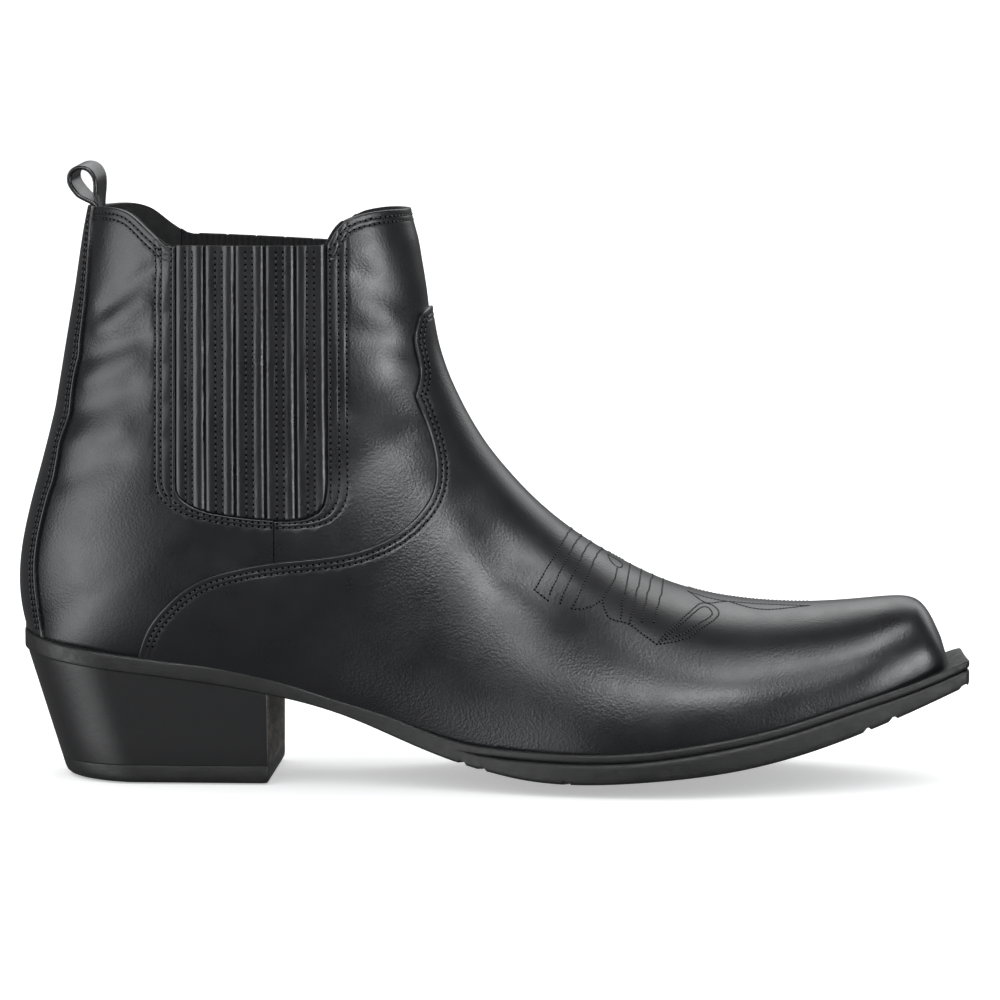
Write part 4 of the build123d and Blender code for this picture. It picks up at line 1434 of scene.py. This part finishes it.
# Decorative rows on the toe in plan: x and distance out from the ridge line. They are mirrored over it.
TOE_LINES = (
    ((133.0, 0.5), (130.6, 15.5), (126.3, 26.4), (122.0, 32.5)),
    ((136.3, 0.5), (133.8, 15.5), (130.4, 26.2), (127.0, 32.5)),
    ((139.6, 0.5), (137.1, 16.0), (133.8, 27.3), (130.2, 33.8)),
    ((143.2, 0.5), (140.8, 16.5), (137.8, 28.0), (134.4, 34.8)),
    ((122.0, 32.5), (126.2, 33.6)), ((134.4, 34.8), (139.5, 34.0), (144.0, 31.0)),
    ((145.2, 4.0), (149.7, 6.0), (148.5, 12.5), (145.8, 9.0), (145.2, 4.0)),
    ((148.5, 12.5), (147.5, 22.0), (144.0, 31.0)),
    ((152.5, 0.5), (152.2, 14.5), (151.2, 25.0), (150.0, 35.0)),
    ((156.3, 0.5), (155.8, 14.5), (154.8, 25.5), (153.4, 35.5)),
    ((159.9, 0.5), (159.2, 15.0), (158.2, 25.0), (157.0, 34.0)),
    ((163.6, 0.5), (163.3, 14.5), (162.3, 24.5), (161.0, 33.0)),
    ((144.0, 31.0), (146.0, 35.5), (152.2, 35.8), (156.5, 37.3), (162.0, 39.3)),
    ((162.0, 39.3), (169.0, 30.0), (174.5, 19.5), (178.0, 14.5), (182.0, 18.5), (178.5, 28.0), (171.5, 35.5),
     (162.0, 39.3)),
    ((163.8, 38.2), (169.5, 31.2), (175.0, 21.5), (178.0, 17.5), (179.8, 20.5), (176.2, 28.0), (170.5, 34.2),
     (163.8, 38.2)),
    ((171.5, 6.0), (174.0, 10.0), (178.0, 14.5), (182.0, 11.5), (185.0, 8.5)),
    ((171.5, 6.0), (178.0, 8.5), (185.0, 8.5)),
    ((185.0, 8.5), (195.0, 13.0), (204.0, 10.5), (212.0, 7.0)),
    ((185.0, 8.5), (196.0, 7.0), (204.0, 6.5), (212.0, 7.0)),
)


def toe_rows(side):
    rows = []
    for line in TOE_LINES:
        plan = respaced(dense(line, 0.5), 0.8)
        found = find_on_top(plan[:, 0], plan[:, 1], side)
        place, normal = surface_frame(found[:, 0], found[:, 1], np.full(len(found), float(side)), 0.0)
        smooth = place.copy()
        for _ in range(3):
            smooth[1:-1] = 0.25 * smooth[:-2] + 0.5 * smooth[1:-1] + 0.25 * smooth[2:]
        rows.append(sewn_line(smooth, normal, 0.02, TOE_PITCH))
    return rows


def build_stitching():
    for side, name in ((-1, "lateral"), (1, "medial")):
        strips = []
        for k in range(STRIPS):
            left, right = strip_span(k)
            for share in (0.36, 0.60):
                x = left + share * (right - left)
                foot = gore_foot(x) + 0.8
                line = np.array([(x, z) for z in np.linspace(topline_height(x, side) - 1.5, foot, 60)])
                strips.append(sewn_row(line, side, LEATHER - 0.2))
        stitch_piece(f"gore_strip_stitching_{name}", strips, bend=stretch_with_gore)
        back = [between(respaced(row_chain(row), 0.8), high=topline_height(-2, side) - 0.5)
                for row in QUARTER_ROWS]
        front = [between(respaced(row_chain(row), 0.8), high=topline_height(56, side) - 0.5)
                 for row in FRONT_ROWS]
        top = dense(BACK_TOPLINE)
        top_rows = [between(surface_shift(top, side, -row), high=-1.0, axis=0) for row in TOP_ROWS]
        quarter_rows = [sewn_row(row, side, LEATHER) for row in back + top_rows]
        stay = between(STAY_CURVE, 50.0, 189.0)
        for row in STAY_ROWS:
            quarter_rows.append(sewn_row(surface_shift(stay, side, -row), side, 0.0))
        stitch_piece(f"quarter_stitching_{name}", quarter_rows, body="boot")
        top = dense(FRONT_TOPLINE)
        top_rows = [between(surface_shift(top, side, -row), low=57.0, high=82.0, axis=0) for row in TOP_ROWS]
        stitch_piece(f"front_stitching_{name}", [sewn_row(row, side, LEATHER) for row in front + top_rows],
                     body="shaft_front_panel")
        seam = []
        for row in VAMP_ROWS:
            lines = surface_shift(joined(VAMP_THROAT, VAMP_SIDE), side, row)
            seam.append(sewn_row(between(lines, low=46.0), side, 0.0))
        stitch_piece(f"vamp_seam_stitching_{name}", seam, bend=bend_with_front)
        stitch_piece(f"toe_stitching_{name}", toe_rows(side), body="boot", size=TOE_PITCH / STITCH_PITCH)


def gore_foot(x):
    """Height of the gore's lower edge at x."""
    foot = dense(GORE_FOOT)
    return float(np.interp(x, foot[:, 0], foot[:, 1]))


dress_inner_pieces()
build_vamp()
build_shaft_front()
build_quarter(-1, "lateral")
build_quarter(1, "medial")
build_back_stay()
for SIDE, SIDE_NAME in ((-1, "lateral"), (1, "medial")):
    build_elastic(SIDE, SIDE_NAME)
    for STRIP in range(STRIPS):
        build_strip(SIDE, SIDE_NAME, STRIP)
build_linings()
build_welt()
build_outsole()
build_heel()
build_loop()
build_stitching()


# ---- stage, light and camera ----

FLOOR_HALF = 6.0                   # metres
FLOOR_Z = -0.0004


def build_stage():
    mesh = bpy.data.meshes.new("studio_floor")
    corners = [(x * FLOOR_HALF, y * FLOOR_HALF, FLOOR_Z) for x, y in ((-1, -1), (1, -1), (1, 1), (-1, 1))]
    mesh.from_pydata(corners, [], [(0, 1, 2, 3)])
    floor = bpy.data.objects.new("studio_floor", mesh)
    bpy.context.scene.collection.objects.link(floor)
    g = Graph("white_floor")
    g.link(g.colours(g.noise(0.5), (0.93, 0.93, 0.93), (0.95, 0.95, 0.95)), g.shader.inputs["Base Color"])
    g.set(Roughness=0.9, Specular_IOR_Level=0.0, Emission_Color=(1, 1, 1, 1), Emission_Strength=0.4)
    floor.data.materials.append(g.material)
    floor.visible_glossy = False


WORLD_LIGHT = 1.05                 # seen by the camera and as fill
WORLD_GLOSS = 0.16                 # seen in reflections, between the glows
# What the boot mirrors: azimuth to the right of the front, elevation, radius (degrees) and strength.
GLOWS = ((-64, 2, 32, 3.4), (-44, -12, 24, 2.0), (63, 0, 15, 11.0),
         (-20, 20, 10, 4.5), (-6, 24, 10, 8.5), (9, 29, 10, 12.0), (26, 27, 10, 13.0), (37, 50, 11, 11.0),
         (56, 61, 10, 7.0), (178, 42, 30, 1.6), (143, 24, 22, 1.8))


def build_world():
    """White for the camera and as fill; reflections see a dim studio with soft glows."""
    world = bpy.data.worlds.new("white_studio")
    bpy.context.scene.world = world
    world.use_nodes = True
    tree = world.node_tree
    toward = tree.nodes.new("ShaderNodeTexCoord").outputs["Generated"]
    total = tree.nodes.new("ShaderNodeValue").outputs[0]
    total.default_value = WORLD_GLOSS
    for *angles, power in GLOWS:
        turn, rise, radius = (math.radians(angle) for angle in angles)
        dot = tree.nodes.new("ShaderNodeVectorMath")
        dot.operation = "DOT_PRODUCT"
        tree.links.new(toward, dot.inputs[0])
        dot.inputs[1].default_value = (math.sin(turn) * math.cos(rise), -math.cos(turn) * math.cos(rise),
                                       math.sin(rise))
        lobe = tree.nodes.new("ShaderNodeMapRange")
        lobe.interpolation_type = "SMOOTHSTEP"
        lobe.inputs["From Min"].default_value = math.cos(radius)
        lobe.inputs["From Max"].default_value = 1.0
        lobe.inputs["To Max"].default_value = power
        tree.links.new(dot.outputs["Value"], lobe.inputs["Value"])
        both = tree.nodes.new("ShaderNodeMath")
        both.operation = "ADD"
        tree.links.new(total, both.inputs[0])
        tree.links.new(lobe.outputs["Result"], both.inputs[1])
        total = both.outputs["Value"]
    rays = tree.nodes.new("ShaderNodeLightPath")
    strength = tree.nodes.new("ShaderNodeMix")
    strength.inputs["A"].default_value = WORLD_LIGHT
    tree.links.new(total, strength.inputs["B"])
    tree.links.new(rays.outputs["Is Glossy Ray"], strength.inputs["Factor"])
    background = tree.nodes["Background"]
    background.inputs["Color"].default_value = (0.98, 0.99, 1.0, 1)
    tree.links.new(strength.outputs["Result"], background.inputs["Strength"])


def softbox(name, place, target, width, height, power):
    data = bpy.data.lights.new(name, "AREA")
    data.shape = "RECTANGLE"
    data.size = width
    data.size_y = height
    data.energy = power
    light = bpy.data.objects.new(name, data)
    light.location = place
    direction = Vector(target) - Vector(place)
    light.rotation_euler = direction.to_track_quat("-Z", "Y").to_euler()
    bpy.context.scene.collection.objects.link(light)
    return light


CAMERA_TARGET = Vector((0.109, 0.0, 0.092))
CAMERA_DISTANCE = 1.5
CAMERA_ELEVATION = math.radians(6.0)
CAMERA_YAW = math.radians(3.0)
CAMERA_LENS = 162.0


def build_camera():
    data = bpy.data.cameras.new("camera")
    data.lens = CAMERA_LENS
    data.sensor_width = 36.0
    data.clip_end = 50.0
    camera = bpy.data.objects.new("camera", data)
    back = Vector((math.sin(CAMERA_YAW) * math.cos(CAMERA_ELEVATION),
                   -math.cos(CAMERA_YAW) * math.cos(CAMERA_ELEVATION), math.sin(CAMERA_ELEVATION)))
    camera.location = CAMERA_TARGET + CAMERA_DISTANCE * back
    camera.rotation_euler = (-back).to_track_quat("-Z", "Y").to_euler()
    bpy.context.scene.collection.objects.link(camera)
    bpy.context.scene.camera = camera


build_camera()
build_world()
build_stage()
softbox("softbox_back", (0.2, 0.9, 1.1), (0.12, 0, 0.06), 1.2, 0.5, 2.5)
bpy.context.scene.view_settings.view_transform = "Standard"
bpy.context.scene.view_settings.look = "None"
